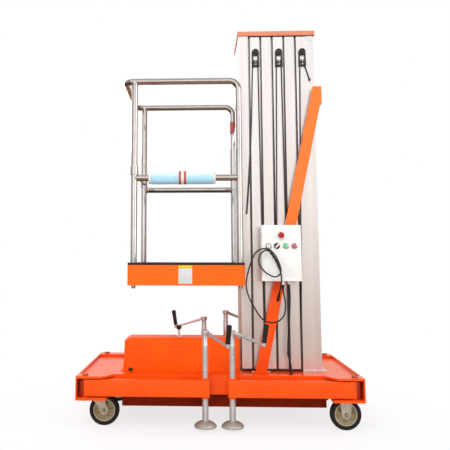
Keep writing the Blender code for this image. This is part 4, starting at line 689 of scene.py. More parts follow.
for y in BOTH_SIDES:
    post = straight((POST_X[0], y, FOOT_Z), (POST_X[0], y, TOP_RAIL_Z), 3)
    middle_rail = straight((POST_X[0], y, MIDDLE_RAIL_Z), (POST_X[1], y, MIDDLE_RAIL_Z), 3)
    rails += [tube(post, TUBE_RADIUS - THINNER, RAIL_SIDES),
              tube(middle_rail, TUBE_RADIUS - 2 * THINNER, RAIL_SIDES),
              turned(BEAD, (POST_X[0], y, TOP_RAIL_Z - TUBE_RADIUS), "Z", RAIL_SIDES, ring=True),
              turned(BEAD, (POST_X[0] + TUBE_RADIUS, y, MIDDLE_RAIL_Z), "X", RAIL_SIDES, ring=True),
              turned(BEAD, (POST_X[1] - TUBE_RADIUS, y, MIDDLE_RAIL_Z), "X", RAIL_SIDES, ring=True)]
rails += [turned(FOOT_PROFILE, (x, y, FOOT_Z), "Z", 20) for x in POST_X for y in BOTH_SIDES]
piece("rail_hoops", rails, chromed_tube, "mast_6", ["guard_rail"])

# %% [markdown]
# The entry bar is a thinner tube between two sleeves, which slide up the posts to let a person in. The
# sleeves are short lathe surfaces whose bore is wider than the post, so that the gap round it is real.

# %% Entry bar
SLEEVE_BORE, SLEEVE_RADIUS, SLEEVE_EDGE = 0.0166, 0.0195, 0.001
SLEEVE_LOW, SLEEVE_TOP = 1.2256, 1.2700
BAR_RADIUS = 0.0125
BAR_END_Y = POST_Y - 0.018
SLEEVE_PROFILE = [(SLEEVE_BORE, SLEEVE_LOW), (SLEEVE_RADIUS - SLEEVE_EDGE, SLEEVE_LOW),
                  (SLEEVE_RADIUS, SLEEVE_LOW + SLEEVE_EDGE), (SLEEVE_RADIUS, SLEEVE_TOP - SLEEVE_EDGE),
                  (SLEEVE_RADIUS - SLEEVE_EDGE, SLEEVE_TOP), (SLEEVE_BORE, SLEEVE_TOP)]
bar_z = (SLEEVE_LOW + SLEEVE_TOP) / 2
bar = tube(straight((POST_X[0], -BAR_END_Y, bar_z), (POST_X[0], BAR_END_Y, bar_z), 3), BAR_RADIUS, 24)
sleeves = [turned(SLEEVE_PROFILE, (POST_X[0], y, 0.0), "Z", RAIL_SIDES, ring=True) for y in BOTH_SIDES]
piece("entry_bar_tube", [bar, *sleeves], chromed_tube, "entry_bar", ["entry_bar"])

# %% [markdown]
# ## The foam roll
# A roll of blue foam is pulled over the front middle rail to pad it, and a milky film is wrapped round it
# and gathered at the ends. The roll is a lathe surface with a bore for the rail, and its radius swells
# and dips a little, as hand wound foam does. A band of white tape with red stripes holds the film.

# %% The foam roll
ROLL_X = (-0.344, -0.006)
ROLL_RADIUS = 0.033
ROLL_BORE = TUBE_RADIUS + 0.0006
ROLL_MIDDLE = (0.0, -POST_Y, MIDDLE_RAIL_Z)
ROLL_SIDES = 56
END_DIP, END_LENGTH = 0.10, 0.006


def wound_roll(start, end, radius, swell, rows=60):
    """Point(u, v): a circle of radius r(v) (1 + waves of u and v), rounded in at both ends, and then
    the rows of the bore on the way back."""
    share = np.linspace(0.0, 1.0, rows)[:, None]
    angle = around(ROLL_SIDES)[None, :]
    x = start + (end - start) * share
    near = np.minimum(x - start, end - x)
    rim = 1.0 - END_DIP * np.clip(1.0 - near / END_LENGTH, 0.0, 1.0) ** 2
    waves = (np.sin(23 * share + 2 * angle) + np.sin(41 * share - angle) + np.sin(9 * share + 3 * angle)) / 3
    skin = radius * rim * (1.0 - swell + swell * waves)
    return double_grid(*(in_space(r * np.cos(angle), r * np.sin(angle), x, "X") + np.array(ROLL_MIDDLE)
                         for r in (skin, ROLL_BORE)))


FOAM_BACK, GATHERED = 0.012, 0.014
# the roll's crest carries a painted sheen
foam = piece("foam_roll", [wound_roll(ROLL_X[0] + FOAM_BACK, ROLL_X[1] - FOAM_BACK, ROLL_RADIUS, 0.012)],
             foam_painted_sheen, "mast_6", ["rail_pad"], sharp=60)
ends = [wound_roll(*span, ROLL_RADIUS * 0.97, 0.02, rows=8)
        for span in ((ROLL_X[0], ROLL_X[0] + GATHERED), (ROLL_X[1] - GATHERED, ROLL_X[1]))]
piece("foam_roll_ends", ends, film_white, "mast_6", sharp=60)

BAND_X = (-0.192, -0.152)
BAND_RADIUS = ROLL_RADIUS + 0.0003
STRIPE_WIDTH = 0.012


def tape_ring(inner, outer, start, end):
    """A ring of tape round the roll."""
    return turned(ring_profile(inner, outer, start, end), ROLL_MIDDLE, "X", ROLL_SIDES, ring=True)


piece("roll_band", [tape_ring(BAND_RADIUS - 0.0012, BAND_RADIUS, *BAND_X)], film_white, "mast_6")
stripes = [tape_ring(BAND_RADIUS - 0.0010, BAND_RADIUS + 0.0004, start, start + STRIPE_WIDTH)
           for start in (BAND_X[0] + 0.001, BAND_X[1] - 0.013)]
piece("roll_band_stripes", stripes, red_tape, "mast_6")

# %% [markdown]
# ## Castors
# Each wheel is a solid rubber tyre on a cast hub. The tyre is a lathe surface with a crowned tread and a
# step in its side wall. The hub has a turned rim, a sunk web with round holes and a boss. The holes could
# be cut through with booleans. Here the web is one grid whose thickness falls to nothing inside each
# hole, so the holes are deep pockets with real edges, which look the same and keep the surface closed.

# %% Wheels
WHEEL_RADIUS = 0.0735
RIM_RADIUS = 0.0534
TYRE_SIDE = [(0.0540, -0.0150), (0.0600, -0.0172), (0.0608, -0.0190), (0.0665, -0.0190),
             (0.0712, -0.0160), (0.0730, -0.0090)]
BOSS_SIDE = [(0.0066, -0.0178), (0.0150, -0.0178), (0.0165, -0.0165), (0.0185, -0.0062)]
RIM_PROFILE = [(RIM_RADIUS, -0.0152), (RIM_RADIUS, 0.0152), (0.0520, 0.0162), (0.0492, 0.0158),
               (0.0478, 0.0140), (0.0472, 0.0060), (0.0472, -0.0060), (0.0478, -0.0140),
               (0.0492, -0.0158), (0.0520, -0.0162)]
WEB_INNER, WEB_OUTER, WEB_HALF = 0.0180, 0.0476, 0.0045
WEB_SIDES, WEB_ROWS = 180, 25
HOLE_COUNT, FIRST_HOLE = 6, 0.3
HOLE_RADIUS, HOLE_SLOPE = 0.0085, 0.0012


def mirrored(profile):
    """The other half of a profile that is the same on both sides, in running order."""
    return [(radius, -height) for radius, height in reversed(profile)]


def web_with_holes(centre):
    """A flat ring as a grid of angle by radius. Its half thickness is the full one outside the holes,
    falls in a straight slope across a hole's edge, and is nothing within."""
    angle = around(WEB_SIDES)[None, :]
    radius = np.linspace(WEB_INNER, WEB_OUTER, WEB_ROWS)[:, None]
    flat = np.stack([radius * np.cos(angle), radius * np.sin(angle)], axis=-1)
    holes = np.arange(HOLE_COUNT) * 2 * pi / HOLE_COUNT + FIRST_HOLE
    middles = (WEB_INNER + WEB_OUTER) / 2 * np.stack([np.cos(holes), np.sin(holes)], axis=-1)
    gap = np.linalg.norm(flat[:, :, None] - middles, axis=-1).min(axis=-1)
    depth = WEB_HALF * np.clip((gap - HOLE_RADIUS) / HOLE_SLOPE + 0.5, 0.0, 1.0)
    return double_grid(*(in_space(flat[..., 0], flat[..., 1], level, "Y") + np.array(centre)
                         for level in (depth, -depth)))


SWIVEL_X, SWIVEL_Y, TRAIL = -0.589, 0.272, 0.034
RIGID_X, RIGID_Y = 0.600, 0.313
WHEELS = {
    "left_front": (SWIVEL_X + TRAIL, -SWIVEL_Y), "left_rear": (SWIVEL_X + TRAIL, SWIVEL_Y),
    "right_front": (RIGID_X, -RIGID_Y), "right_rear": (RIGID_X, RIGID_Y),
}
tyre_profile = [*TYRE_SIDE, (WHEEL_RADIUS, 0.0), *mirrored(TYRE_SIDE)]
boss_profile = BOSS_SIDE + mirrored(BOSS_SIDE)
for place, (x, y) in WHEELS.items():
    axle = (x, y, WHEEL_RADIUS)
    wheel = "wheel_" + place
    piece("tyre_tread_" + place, [turned(tyre_profile, axle, "Y", 96, ring=True)], tyre_rubber, wheel,
          ["tyre_" + place], sharp=50)
    piece("hub_rim_" + place, [turned(RIM_PROFILE, axle, "Y", 72, ring=True)], machined_rim, wheel)
    piece("hub_casting_" + place, [web_with_holes(axle), turned(boss_profile, axle, "Y", 40, ring=True)],
          hub_enamel, wheel, ["hub_" + place], sharp=40)

# %% [markdown]
# The fork is two pressed legs under a crown plate. A leg starts as wide as the crown and narrows to a round
# end at the axle, where a bolt goes through with a washer and a nut. The nuts are blackened steel, and
# the zinc plated end of the bolt shows in their middle.

# %% Forks
LEG_NEAR, LEG_FAR = 0.0210, 0.0245
LEG_END_RADIUS = 0.0220
CROWN_HALF = 0.0285
SHOULDER = 0.022
PRESSED_EDGE = 0.0008
WASHER_RADIUS, WASHER_END = 0.0100, LEG_FAR + 0.0012
NUT_RADIUS, NUT_END = 0.0088, LEG_FAR + 0.0040
AXLE_RADIUS, AXLE_END = 0.0046, LEG_FAR + 0.0048
SWIVEL_CROWN_Z = (0.156, 0.162)
RIGID_CROWN_Z = (0.1547, 0.1597)
RIGID_PLATE_HALF = 0.042
RIGID_PLATE_Y = (RIGID_Y - 0.060, RIGID_Y + 0.010)
RACE_PROFILE = [(0.0, 0.1605), (0.0360, 0.1605), (0.0380, 0.1625), (0.0380, 0.1695), (0.0360, 0.1718),
                (0.0, 0.1718)]
nut_steel = finish("blackened steel nut", "#4E4845", "#3A3532", (0.38, 0.52), 0.8, cloud_mm=6,
                   grain_mm=1.0, bump=0.05, bump_mm=0.03)


def leg_outline(axle_x, top_x, top_z):
    """The two sides run from the crown, as tangents, to a half circle round the axle."""
    low = arc(axle_x, WHEEL_RADIUS, LEG_END_RADIUS, np.linspace(170, 370, 17))
    top = [(top_x + CROWN_HALF, top_z - SHOULDER), (top_x + CROWN_HALF, top_z),
           (top_x - CROWN_HALF, top_z), (top_x - CROWN_HALF, top_z - SHOULDER)]
    return np.vstack([low, top])


def fork(axle_x, top_x, y, low_z, high_z):
    """Crown plate, two legs, the axle with a washer on either side, and in a second list the nuts."""
    crown = rectangle((top_x - CROWN_HALF, top_x + CROWN_HALF), (y - LEG_FAR, y + LEG_FAR), 0.003)
    outline = leg_outline(axle_x, top_x, low_z + 0.001)
    shells = [slab(crown, low_z, high_z, PRESSED_EDGE)]
    nuts = []
    for side in (-1, 1):
        near, far = y + side * LEG_NEAR, y + side * LEG_FAR
        washer_end, nut_end = y + side * WASHER_END, y + side * NUT_END
        washer = ring_profile(0.0, WASHER_RADIUS, *sorted((far, washer_end)))
        nut = hexagon(axle_x, WHEEL_RADIUS, NUT_RADIUS)
        shells += [slab(outline, *sorted((near, far)), PRESSED_EDGE, "Y"),
                   turned(washer, (axle_x, 0.0, WHEEL_RADIUS), "Y", 28)]
        nuts.append(slab(nut, *sorted((washer_end, nut_end)), 0.0006, "Y"))
    axle = straight((axle_x, y - AXLE_END, WHEEL_RADIUS), (axle_x, y + AXLE_END, WHEEL_RADIUS))
    return [*shells, tube(axle, AXLE_RADIUS, 20)], nuts


for side, sign in (("front", -1), ("rear", 1)):
    shells, nuts = fork(SWIVEL_X + TRAIL, SWIVEL_X, sign * SWIVEL_Y, *SWIVEL_CROWN_Z)
    shells.append(turned(RACE_PROFILE, (SWIVEL_X, sign * SWIVEL_Y, 0.0), "Z", 48))
    piece("swivel_fork_pressed_" + side, shells, fork_zinc, "swivel_" + side,
          ["swivel_fork_" + side])
    piece("swivel_axle_nuts_" + side, nuts, nut_steel, "swivel_" + side)
    shells, nuts = fork(RIGID_X, RIGID_X, sign * RIGID_Y, *RIGID_CROWN_Z)
    plate = rectangle((RIGID_X - RIGID_PLATE_HALF, RIGID_X + RIGID_PLATE_HALF),
                      sorted(sign * y for y in RIGID_PLATE_Y), 0.004)
    shells.append(slab(plate, *RIGID_CROWN_Z, PRESSED_EDGE))
    piece("rigid_fork_pressed_" + side, shells, fork_zinc, "base", ["rigid_fork_" + side])
    piece("rigid_axle_nuts_" + side, nuts, nut_steel, "base")

# %% [markdown]
# ## Screw jacks
# A jack is a zinc plated tube that screws through a sleeve in the arm. Its foot is a pressed dish, and a
# crank with a black grip drives it from the top. A few shallow rings round the tube catch the light. The
# lever could be a bent rod, but a forged bar that swells at both ends and thins towards the grip is one
# row of rings, and it gives the heads their round ends.

# %% Screw jacks
JACK_X, ARM_Y = 0.064, 0.370
JACK_RADIUS = 0.015
JACK_SKIN, JACK_GROOVE = JACK_RADIUS - 0.0006, JACK_RADIUS - 0.0010
PAD_Z = 0.019
LEG_LOW = 0.046
CRANKS = {  # side along x, side along y, heading of the crank in degrees, height of the jack's head
    "front_left": (-1, -1, -52.0, 0.465), "front_right": (1, -1, -30.0, 0.465),
    "rear_left": (-1, 1, 180.0, 0.465), "rear_right": (1, 1, 52.0, 0.502),
}
CRANK_REACH, CRANK_DROP = 0.165, 0.050
HUB_DROP = 0.008
GRIP_LEAN = 0.16
STUB_RADIUS, STUB_START, STUB_END = 0.0075, 0.004, 0.0109
GRIP_GAP = 0.0003
GRIP_WIDTHS, GRIP_HEIGHTS = np.array([
    (0.0100, 0.0), (0.0124, 0.00121), (0.0124, 0.00402), (0.0104, 0.00563), (0.0108, 0.03004),
    (0.0112, 0.06005), (0.0118, 0.07806), (0.0112, 0.08357), (0.0085, 0.08508)]).T
RING_LEVELS = (0.100, 0.115, 0.128, 0.285, 0.300, 0.340, 0.380)
RING = [(JACK_SKIN, -0.0020), (JACK_SKIN, 0.0), (JACK_GROOVE, 0.0010), (JACK_SKIN, 0.0020),
        (JACK_SKIN, 0.0040)]
HEAD = [(JACK_SKIN, -0.066), (0.0130, -0.062), (0.0130, -0.020), (0.0165, -0.019), (0.0180, -0.017),
        (0.0180, -0.002), (0.0165, 0.0), (0.0075, 0.0), (0.0, 0.0)]
DISH = [(0.0, 0.0), (0.0500, 0.0), (0.0525, 0.0020), (0.0530, 0.0060), (0.0515, 0.0110), (0.0470, 0.0165),
        (0.0400, 0.0215), (0.0320, 0.0255), (0.0240, 0.0285), (0.0175, 0.0300), (0.0165, 0.0305),
        (0.0, 0.0305)]
UPWARDS = np.array((0.0, 0.0, 1.0))


def lever_bar(start, tip, across):
    """Rings of a forged bar from the jack to the grip: its width swells at both ends, so that the round
    heads sit in the same sweep, its depth falls from the jack to the grip, and its edges are eased."""
    share = np.array([-0.075, -0.055, 0.0, 0.055, 0.12, 0.5, 0.88, 0.95, 1.0, 1.045, 1.065])
    half = np.array([0.004, 0.0100, 0.0125, 0.0100, 0.0085, 0.0080, 0.0085, 0.0100, 0.0120, 0.0095, 0.004])
    deep = 0.0078 - 0.0034 * np.clip(share, 0.0, 1.0)
    middle = start[None] + (tip - start)[None] * share[:, None]
    ring = np.array([(-1, -0.6), (-0.9, -1), (0.9, -1), (1, -0.6), (1, 0.6), (0.9, 1), (-0.9, 1), (-1, 0.6)])
    return closed_grid(middle[:, None] + half[:, None, None] * ring[None, :, :1] * across
                       + deep[:, None, None] * ring[None, :, 1:] * UPWARDS)


rings = [point for level in RING_LEVELS for point in lifted(RING, level)]
for corner, (sign_x, sign_y, heading, head_z) in CRANKS.items():
    x, y = sign_x * JACK_X, sign_y * ARM_Y
    jack = "jack_" + corner
    leg = [(0.0, LEG_LOW), (JACK_SKIN, LEG_LOW), *rings, *lifted(HEAD, head_z)]
    out = np.array((np.cos(np.radians(heading)), np.sin(np.radians(heading)), 0.0))
    across = np.array((-out[1], out[0], 0.0))
    start = np.array((x, y, head_z - HUB_DROP))
    tip = start + out * CRANK_REACH - UPWARDS * CRANK_DROP
    lean = unit(UPWARDS + out * GRIP_LEAN)
    stub = tip + lean * STUB_END
    shells = [turned(leg, (x, y, 0.0), "Z", 36), lever_bar(start, tip, across),
              tube(straight(tip - lean * STUB_START, stub, 3), STUB_RADIUS, 20)]
    piece("jack_screw_tube_" + corner, shells, zinc_plate, jack, [jack])
    piece("jack_foot_dish_" + corner, [turned(lifted(DISH, PAD_Z), (x, y, 0.0), "Z", 56)], dull_zinc, jack)
    grip_route = stub + lean * GRIP_GAP + GRIP_HEIGHTS[:, None] * lean
    piece("grip_sleeve_" + corner, [tube(grip_route, GRIP_WIDTHS, 28)], black_plastic, jack,
          ["crank_grip_" + corner])

# %% [markdown]
# ## Power unit cover
# The cover is moulded, so its sides lean in a little to leave the mould and its corners are round. Each
# level is a rounded rectangle, smaller towards the top, and the rim turns over along a quarter circle.
# Its left end leans half as much as the sides, and its right end stands upright against the brace.

# %% Power unit cover
DECK_Z = 0.2383
COVER_X = (-0.480, 0.115)
COVER_Y = (-0.165, 0.030)
COVER_Z = (DECK_Z, 0.401)
COVER_CORNER = 0.016
DRAFT = 0.012
FLANGE_REACH, FLANGE_RISE = 0.012, 0.003
TOP_EDGE = 0.016


def moulded_cover():
    """Levels of rounded rectangles: level(v) leans in with height, then follows a quarter circle."""
    turn = np.linspace(0, pi / 2, 7)
    height = COVER_Z[1] - COVER_Z[0]
    rise = np.concatenate([[0.0, FLANGE_RISE, FLANGE_RISE, 0.05],
                           height - TOP_EDGE + TOP_EDGE * np.sin(turn)])
    lean = DRAFT * np.clip(rise / height, 0.0, 1.0)
    inset = lean + np.concatenate([[-FLANGE_REACH, -FLANGE_REACH, 0.0, 0.0], TOP_EDGE * (1 - np.cos(turn))])
    levels = []
    for level, step in zip(rise, inset):
        left = COVER_X[0] + (step / 2 if 0 < step <= DRAFT else step)
        right = COVER_X[1] - max(step - DRAFT, 0.0)
        outline = rectangle((left, right), (COVER_Y[0] + step, COVER_Y[1] - step), COVER_CORNER, 6)
        levels.append(in_space(outline[:, 0], outline[:, 1], COVER_Z[0] + level, "Z"))
    return closed_grid(np.stack(levels))


piece("moulded_cover", [moulded_cover()], cover_paint, "base", ["power_unit_cover"],
      sharp=30)
KNOB_PLACE = (-0.198, -0.070, 0.0)
KNOB_Z = COVER_Z[1] + 0.0003
STEM = [(0.0, 0.0), (0.0200, 0.0), (0.0200, 0.0022), (0.0085, 0.0030), (0.0060, 0.006), (0.0060, 0.036),
        (0.0, 0.036)]
CAP = [(0.0, 0.0355), (0.0085, 0.0355), (0.0125, 0.0400), (0.0140, 0.0460), (0.0138, 0.0520),
       (0.0120, 0.0565), (0.0070, 0.0577), (0.0, 0.0577)]
piece("cover_knob_stem", [turned(lifted(STEM, KNOB_Z), KNOB_PLACE)], zinc_plate, "base")
piece("cover_knob_cap", [turned(lifted(CAP, KNOB_Z), KNOB_PLACE)], black_plastic, "base",
      ["cover_knob"])
THUMB_SCREW_X, THUMB_SCREW_Y, THUMB_SCREW_Z = (-0.440, 0.075), -0.171, 0.2413
WING = [(0.0, 0.0), (0.0095, 0.0), (0.0105, 0.0020), (0.0105, 0.0090), (0.0085, 0.0125), (0.0, 0.0135)]
wing = lifted(WING, THUMB_SCREW_Z)
piece("cover_thumb_screws", [turned(wing, (x, THUMB_SCREW_Y, 0.0), "Z", 28) for x in THUMB_SCREW_X],
      black_plastic, "base")

# %% [markdown]
# ## Cable sheaves
# Three of the sections carry a sheave near their top. The wheel turns between two cheeks, and under it a
# clamp with two bright bolts holds the wire strands that run down the section. The real strands are wires
# laid round a core, and they lean a little, so that their lower ends lie in line with the dark strips.
# Each wire could be a thin spiral tube. Here a finish with fine, drawn out noise stands for the wires,
# which is enough at this size.

# %% Strand finish
black_steel = finish("blackened steel pressing", "#535052", "#424042", (0.36, 0.52), 0.6, cloud_mm=10,
                     grain_mm=1.5, bump=0.15, bump_mm=0.08)
wire_rope = finish("greased wire strand", "#64605F", "#4B4747", (0.35, 0.55), 0.8, cloud_mm=4,
                   stretch=(1.0, 1.0, 0.5), grain_mm=1.0, bump=0.4, bump_mm=0.2)

# %% Cable sheaves
PLATE_BACK = -0.1573
PLATE_FRONT = -0.1633
WHEEL_FRONT = -0.1753
SHEAVE_LOW = 1.820
HUB_Z = 1.900
CHEEK_HALF, SLOT_HALF, SLOT_TOP = 0.0195, 0.0105, HUB_Z - 0.014
SHEAVE_RADIUS = 0.0172
BOLT_HEIGHTS = (SHEAVE_LOW + 0.0105, SHEAVE_LOW + 0.0265)
STRAND_LOW = 0.300
STRAND_OFFSET = 0.0130
STRAND_RADIUS = 0.0034
STRAND_Y = PLATE_BACK - 0.0043
ANCHOR_PLACE = (0.4985, 1.748)
SHEAVES = {  # body, x of the hub, and where the left and the right strand end
    1: ("base", 0.4620, ((0.4233, STRAND_LOW), ANCHOR_PLACE)),
    3: ("mast_3", 0.3380, ((0.3009, STRAND_LOW), (0.3621, STRAND_LOW))),
    5: ("mast_5", 0.2145, ((0.2015, 1.816), (0.2397, STRAND_LOW))),
}
DISHED = [(0.0, 0.0004), (SHEAVE_RADIUS, 0.0004), (SHEAVE_RADIUS, 0.0070), (0.0132, 0.0095),
          (0.0132, 0.0110), (SHEAVE_RADIUS, 0.0135), (SHEAVE_RADIUS, 0.0160), (0.0157, 0.0168),
          (0.0127, 0.0180), (0.0105, 0.0170), (0.0090, 0.0150), (0.0060, 0.0150), (0.0052, 0.0190),
          (0.0040, 0.0202), (0.0, 0.0204)]
BALL = [(0.0, PLATE_BACK), (0.0040, PLATE_BACK), (0.0040, STRAND_Y + 0.002), (0.0062, STRAND_Y),
        (0.0062, STRAND_Y - 0.004), (0.0045, STRAND_Y - 0.0062), (0.0, STRAND_Y - 0.0065)]


def clamp_outline(x, low, high, half):
    """An H lying on its side: a notch is cut into the middle of the left and of the right edge."""
    middle = (low + high) / 2
    right = [(half, low), (half, middle - 0.0035), (half - 0.007, middle - 0.0025),
             (half - 0.007, middle + 0.0025), (half, middle + 0.0035), (half, high)]
    left = [(-reach, z) for reach, z in reversed(right)]
    return [(x + reach, z) for reach, z in (left[-1], *right, *left[:-1])]


wheel_profile = [(radius, PLATE_BACK - height) for radius, height in DISHED]
for section, (body, x, ends) in SHEAVES.items():
    arch = np.vstack([[(x - CHEEK_HALF, SHEAVE_LOW), (x - SLOT_HALF, SHEAVE_LOW), (x - SLOT_HALF, SLOT_TOP),
                       (x + SLOT_HALF, SLOT_TOP), (x + SLOT_HALF, SHEAVE_LOW), (x + CHEEK_HALF, SHEAVE_LOW)],
                      arc(x, HUB_Z, CHEEK_HALF, np.linspace(0, 180, 19))])
    clamp = clamp_outline(x, SHEAVE_LOW + 0.003, SHEAVE_LOW + 0.034, 0.0190)
    cheeks = [slab(arch, PLATE_FRONT, PLATE_BACK, 0.0006, "Y"),
              slab(clamp, WHEEL_FRONT, PLATE_FRONT + 0.0005, 0.0010, "Y")]
    wheel = turned(wheel_profile, (x, 0.0, HUB_Z), "Y", 48)
    bolts = [slab(hexagon(x, z, 0.0038, 30), WHEEL_FRONT - 0.0024, WHEEL_FRONT + 0.0005, 0.0005, "Y")
             for z in BOLT_HEIGHTS]
    strands = [turned(BALL, (ANCHOR_PLACE[0], 0.0, ANCHOR_PLACE[1]), "Y", 24)] if section == 1 else []
    for side, (end_x, end_z) in zip((-1, 1), ends):
        way = straight((end_x, STRAND_Y, end_z), (x + side * STRAND_OFFSET, STRAND_Y, SHEAVE_LOW + 0.004), 3)
        strands.append(tube(way, STRAND_RADIUS, 12))
    piece("sheave_cheeks_%d" % section, cheeks, black_steel, body,
          ["cable_sheave_%d" % section])
    piece("sheave_wheel_%d" % section, [wheel], black_steel, body, sharp=40)
    piece("sheave_bolts_%d" % section, bolts, zinc_plate, body)
    piece("sheave_strands_%d" % section, strands, wire_rope, body)

# %% [markdown]
# The left strand of the third sheave isn't hooked up: it hangs down in front of the sections with a black
# sleeve over its lower end. It is a free rope, so its length follows from its route, as the lead's does.

# %% The loose strand
LOOSE_RADIUS = 0.0032
LOOSE_POINTS = [
    (0.1980, -0.1616, 1.8156), (0.1976, -0.1616, 1.795), (0.1960, -0.1618, 1.745),
    (0.1940, -0.1620, 1.680), (0.1920, -0.1622, 1.620), (0.1900, -0.1624, 1.560),
    (0.1876, -0.1626, 1.500), (0.1850, -0.1628, 1.440), (0.1818, -0.1630, 1.380),
    (0.1780, -0.1632, 1.320), (0.1736, -0.1634, 1.255), (0.1690, -0.1636, 1.190),
    (0.1646, -0.1637, 1.130), (0.1605, -0.1638, 1.080), (0.1570, -0.1638, 1.040),
]
SLEEVE_START_Z, SLEEVE_WIDTH = 1.370, 0.0046
loose_route = smooth_route(LOOSE_POINTS, 0.008)
loose = piece("loose_strand", [tube(loose_route, LOOSE_RADIUS, 12)], wire_rope, "mast_5")
sleeve_from = int(np.argmin(np.abs(loose_route[:, 2] - SLEEVE_START_Z)))
beyond = loose_route[-1:] + (loose_route[-1] - loose_route[-2]) * 0.6
sleeve_route = np.vstack([loose_route[sleeve_from:], beyond])
sleeve = piece("loose_strand_sleeve", [tube(sleeve_route, SLEEVE_WIDTH, 16)], black_steel, "mast_5")
print("loose strand is", round(route_length(loose_route), 3), "m long")

# %% [markdown]
# ## Gap strips
# Between two sections lie black strips, set back from the front edge, that are painted shade: what shows
# is a thin dark line from top to bottom, where the gap is in shade. The gap could be left to shadow, but
# then light would pass through the mast from behind. Their upper part is painted paler, as painted light.

# %% Gap strips of painted shade
STRIP_Y = (0.112, 0.142)
STRIP_Z = (0.2560, 1.9850)
LAST_SECTION_X, SECTION_PITCH, SECTION_WIDTH = 0.125, 0.0612, 0.050
STRIP_GAP = (0.0004, 0.0070)
# black strips as painted shade in the gaps between sections
for section in range(2, 7):
    right_face = LAST_SECTION_X + (6 - section) * SECTION_PITCH + SECTION_WIDTH
    span = [right_face + gap for gap in STRIP_GAP]
    strips = [slab(rectangle(span, sorted(side * y for y in STRIP_Y), 0.001, 2), *STRIP_Z, 0.0008)
              for side in (-1, 1)]
    piece("gap_shade_strips_%d" % section, strips, strip_painted_shade_and_light, "mast_%d" % section)

# %% [markdown]
# ## Control box
# The ground control box is folded from sheet steel and enamelled white. Its door stands a little proud,
# with a thin dark seam all round and two hinge knuckles at the left. The seam is made as real depth,
# between the door's slab and the body's, so that it shades by itself. Two cables leave through glands in
# the floor of the box.

# %% Control box
BOX_X = (0.220, 0.414)
BOX_Z = (0.694, 0.9705)
BOX_FRONT, BOX_BACK = -0.2903, -0.2033
DOOR_BACK = -0.2862
BOX_WALL = 0.004
FEED_EXIT = (0.3606, -0.2160)
SHEET_X, SHEET_Z = (0.2905, 0.4045), (0.7150, 0.8430)
HINGE_HEIGHTS, HINGE_HALF, HINGE_RADIUS = (0.750, 0.915), 0.014, 0.0032
HINGE_X, HINGE_Y = BOX_X[0] + 0.0034, BOX_FRONT + 0.0026
GLAND_RADIUS = 0.0088
GLAND = [(0.0, -0.0180), (0.0058, -0.0180), (0.0078, -0.0160), (0.0086, -0.0120), (0.0086, -0.0068),
         (0.0, -0.0068)]
body_outline = rectangle(BOX_X, BOX_Z, 0.004)
inner_outline = rectangle((BOX_X[0] + BOX_WALL, BOX_X[1] - BOX_WALL),
                          (BOX_Z[0] + BOX_WALL, BOX_Z[1] - BOX_WALL), 0.003)
box_shells = [slab(body_outline, DOOR_BACK + 0.0008, BOX_BACK, 0.0020, "Y", 4),
              slab(inner_outline, DOOR_BACK - 0.0005, DOOR_BACK + 0.0015, 0.0002, "Y"),
              slab(body_outline, BOX_FRONT, DOOR_BACK, 0.0018, "Y", 4)]
for x, y in (CORD_POINTS[0][:2], FEED_EXIT):
    box_shells += [slab(hexagon(x, y, GLAND_RADIUS), BOX_Z[0] - 0.0070, BOX_Z[0] + 0.001, 0.0006),
                   turned(lifted(GLAND, BOX_Z[0]), (x, y, 0.0), "Z", 28)]
piece("control_box_shell", box_shells, white_enamel, "base", ["control_box"], sharp=30)
sheet = slab(rectangle(SHEET_X, SHEET_Z, 0.002), BOX_FRONT - 0.0003, BOX_FRONT + 0.0004, 0.0002, "Y")
piece("control_box_blank_sheet", [sheet], paper_white, "base")
hinges = [tube(straight((HINGE_X, HINGE_Y, z - HINGE_HALF), (HINGE_X, HINGE_Y, z + HINGE_HALF)),
               HINGE_RADIUS, 16) for z in HINGE_HEIGHTS]
piece("control_box_hinges", hinges, zinc_plate, "base")

# %% [markdown]
# The five controls are standard 22 mm parts in 29 mm bezels. The stop button is a red mushroom with a
# dished crown. The key switch has a bright ring round a pale centre, the selector a black base with a
# white handle, and the two buttons have coloured caps in pale rings. All of them are lathe work, so one
# helper turns their profiles on the box's face.

# %% Controls
FACE = BOX_FRONT - 0.0003
CONTROL_Z = 0.8670
KEY_X, SELECTOR_X, GREEN_X, RED_X = 0.2535, 0.2945, 0.3385, 0.3800
STOP_PLACE = (0.3145, 0.9200)
MUSHROOM = [(0.0, 0.010), (0.0090, 0.010), (0.0135, 0.0135), (0.0150, 0.0170), (0.0150, 0.0205),
            (0.0138, 0.0236), (0.0105, 0.0255), (0.0060, 0.0258), (0.0, 0.0250)]
COLLAR = [(0.0, 0.0), (0.0114, 0.0), (0.0114, 0.0090), (0.0080, 0.0104), (0.0, 0.0104)]
KEY_RING = [(0.0092, 0.0), (0.0113, 0.0), (0.0113, 0.0100), (0.0104, 0.0115), (0.0096, 0.0115),
            (0.0092, 0.0105)]
KEY_CORE = [(0.0, 0.0), (0.0091, 0.0), (0.0091, 0.0095), (0.0, 0.0100)]
SELECTOR_BASE = [(0.0, 0.0), (0.0113, 0.0), (0.0113, 0.0060), (0.0100, 0.0075), (0.0, 0.0078)]
BEZEL = [(0.0114, 0.0), (0.0145, 0.0), (0.0145, 0.0020), (0.0133, 0.0032), (0.0122, 0.0038),
         (0.0114, 0.0030)]
HANDLE = [(-0.0102, -0.0036), (0.0102, -0.0036), (0.0108, 0.0), (0.0102, 0.0036), (-0.0102, 0.0036),
          (-0.0108, 0.0)]
HANDLE_TURN = np.radians(48)


def control_part(profile, x, z=CONTROL_Z):
    """A lathe part on the box's face: its heights are counted out from the face."""
    return turned([(radius, FACE - height) for radius, height in profile], (x, 0.0, z), "Y")


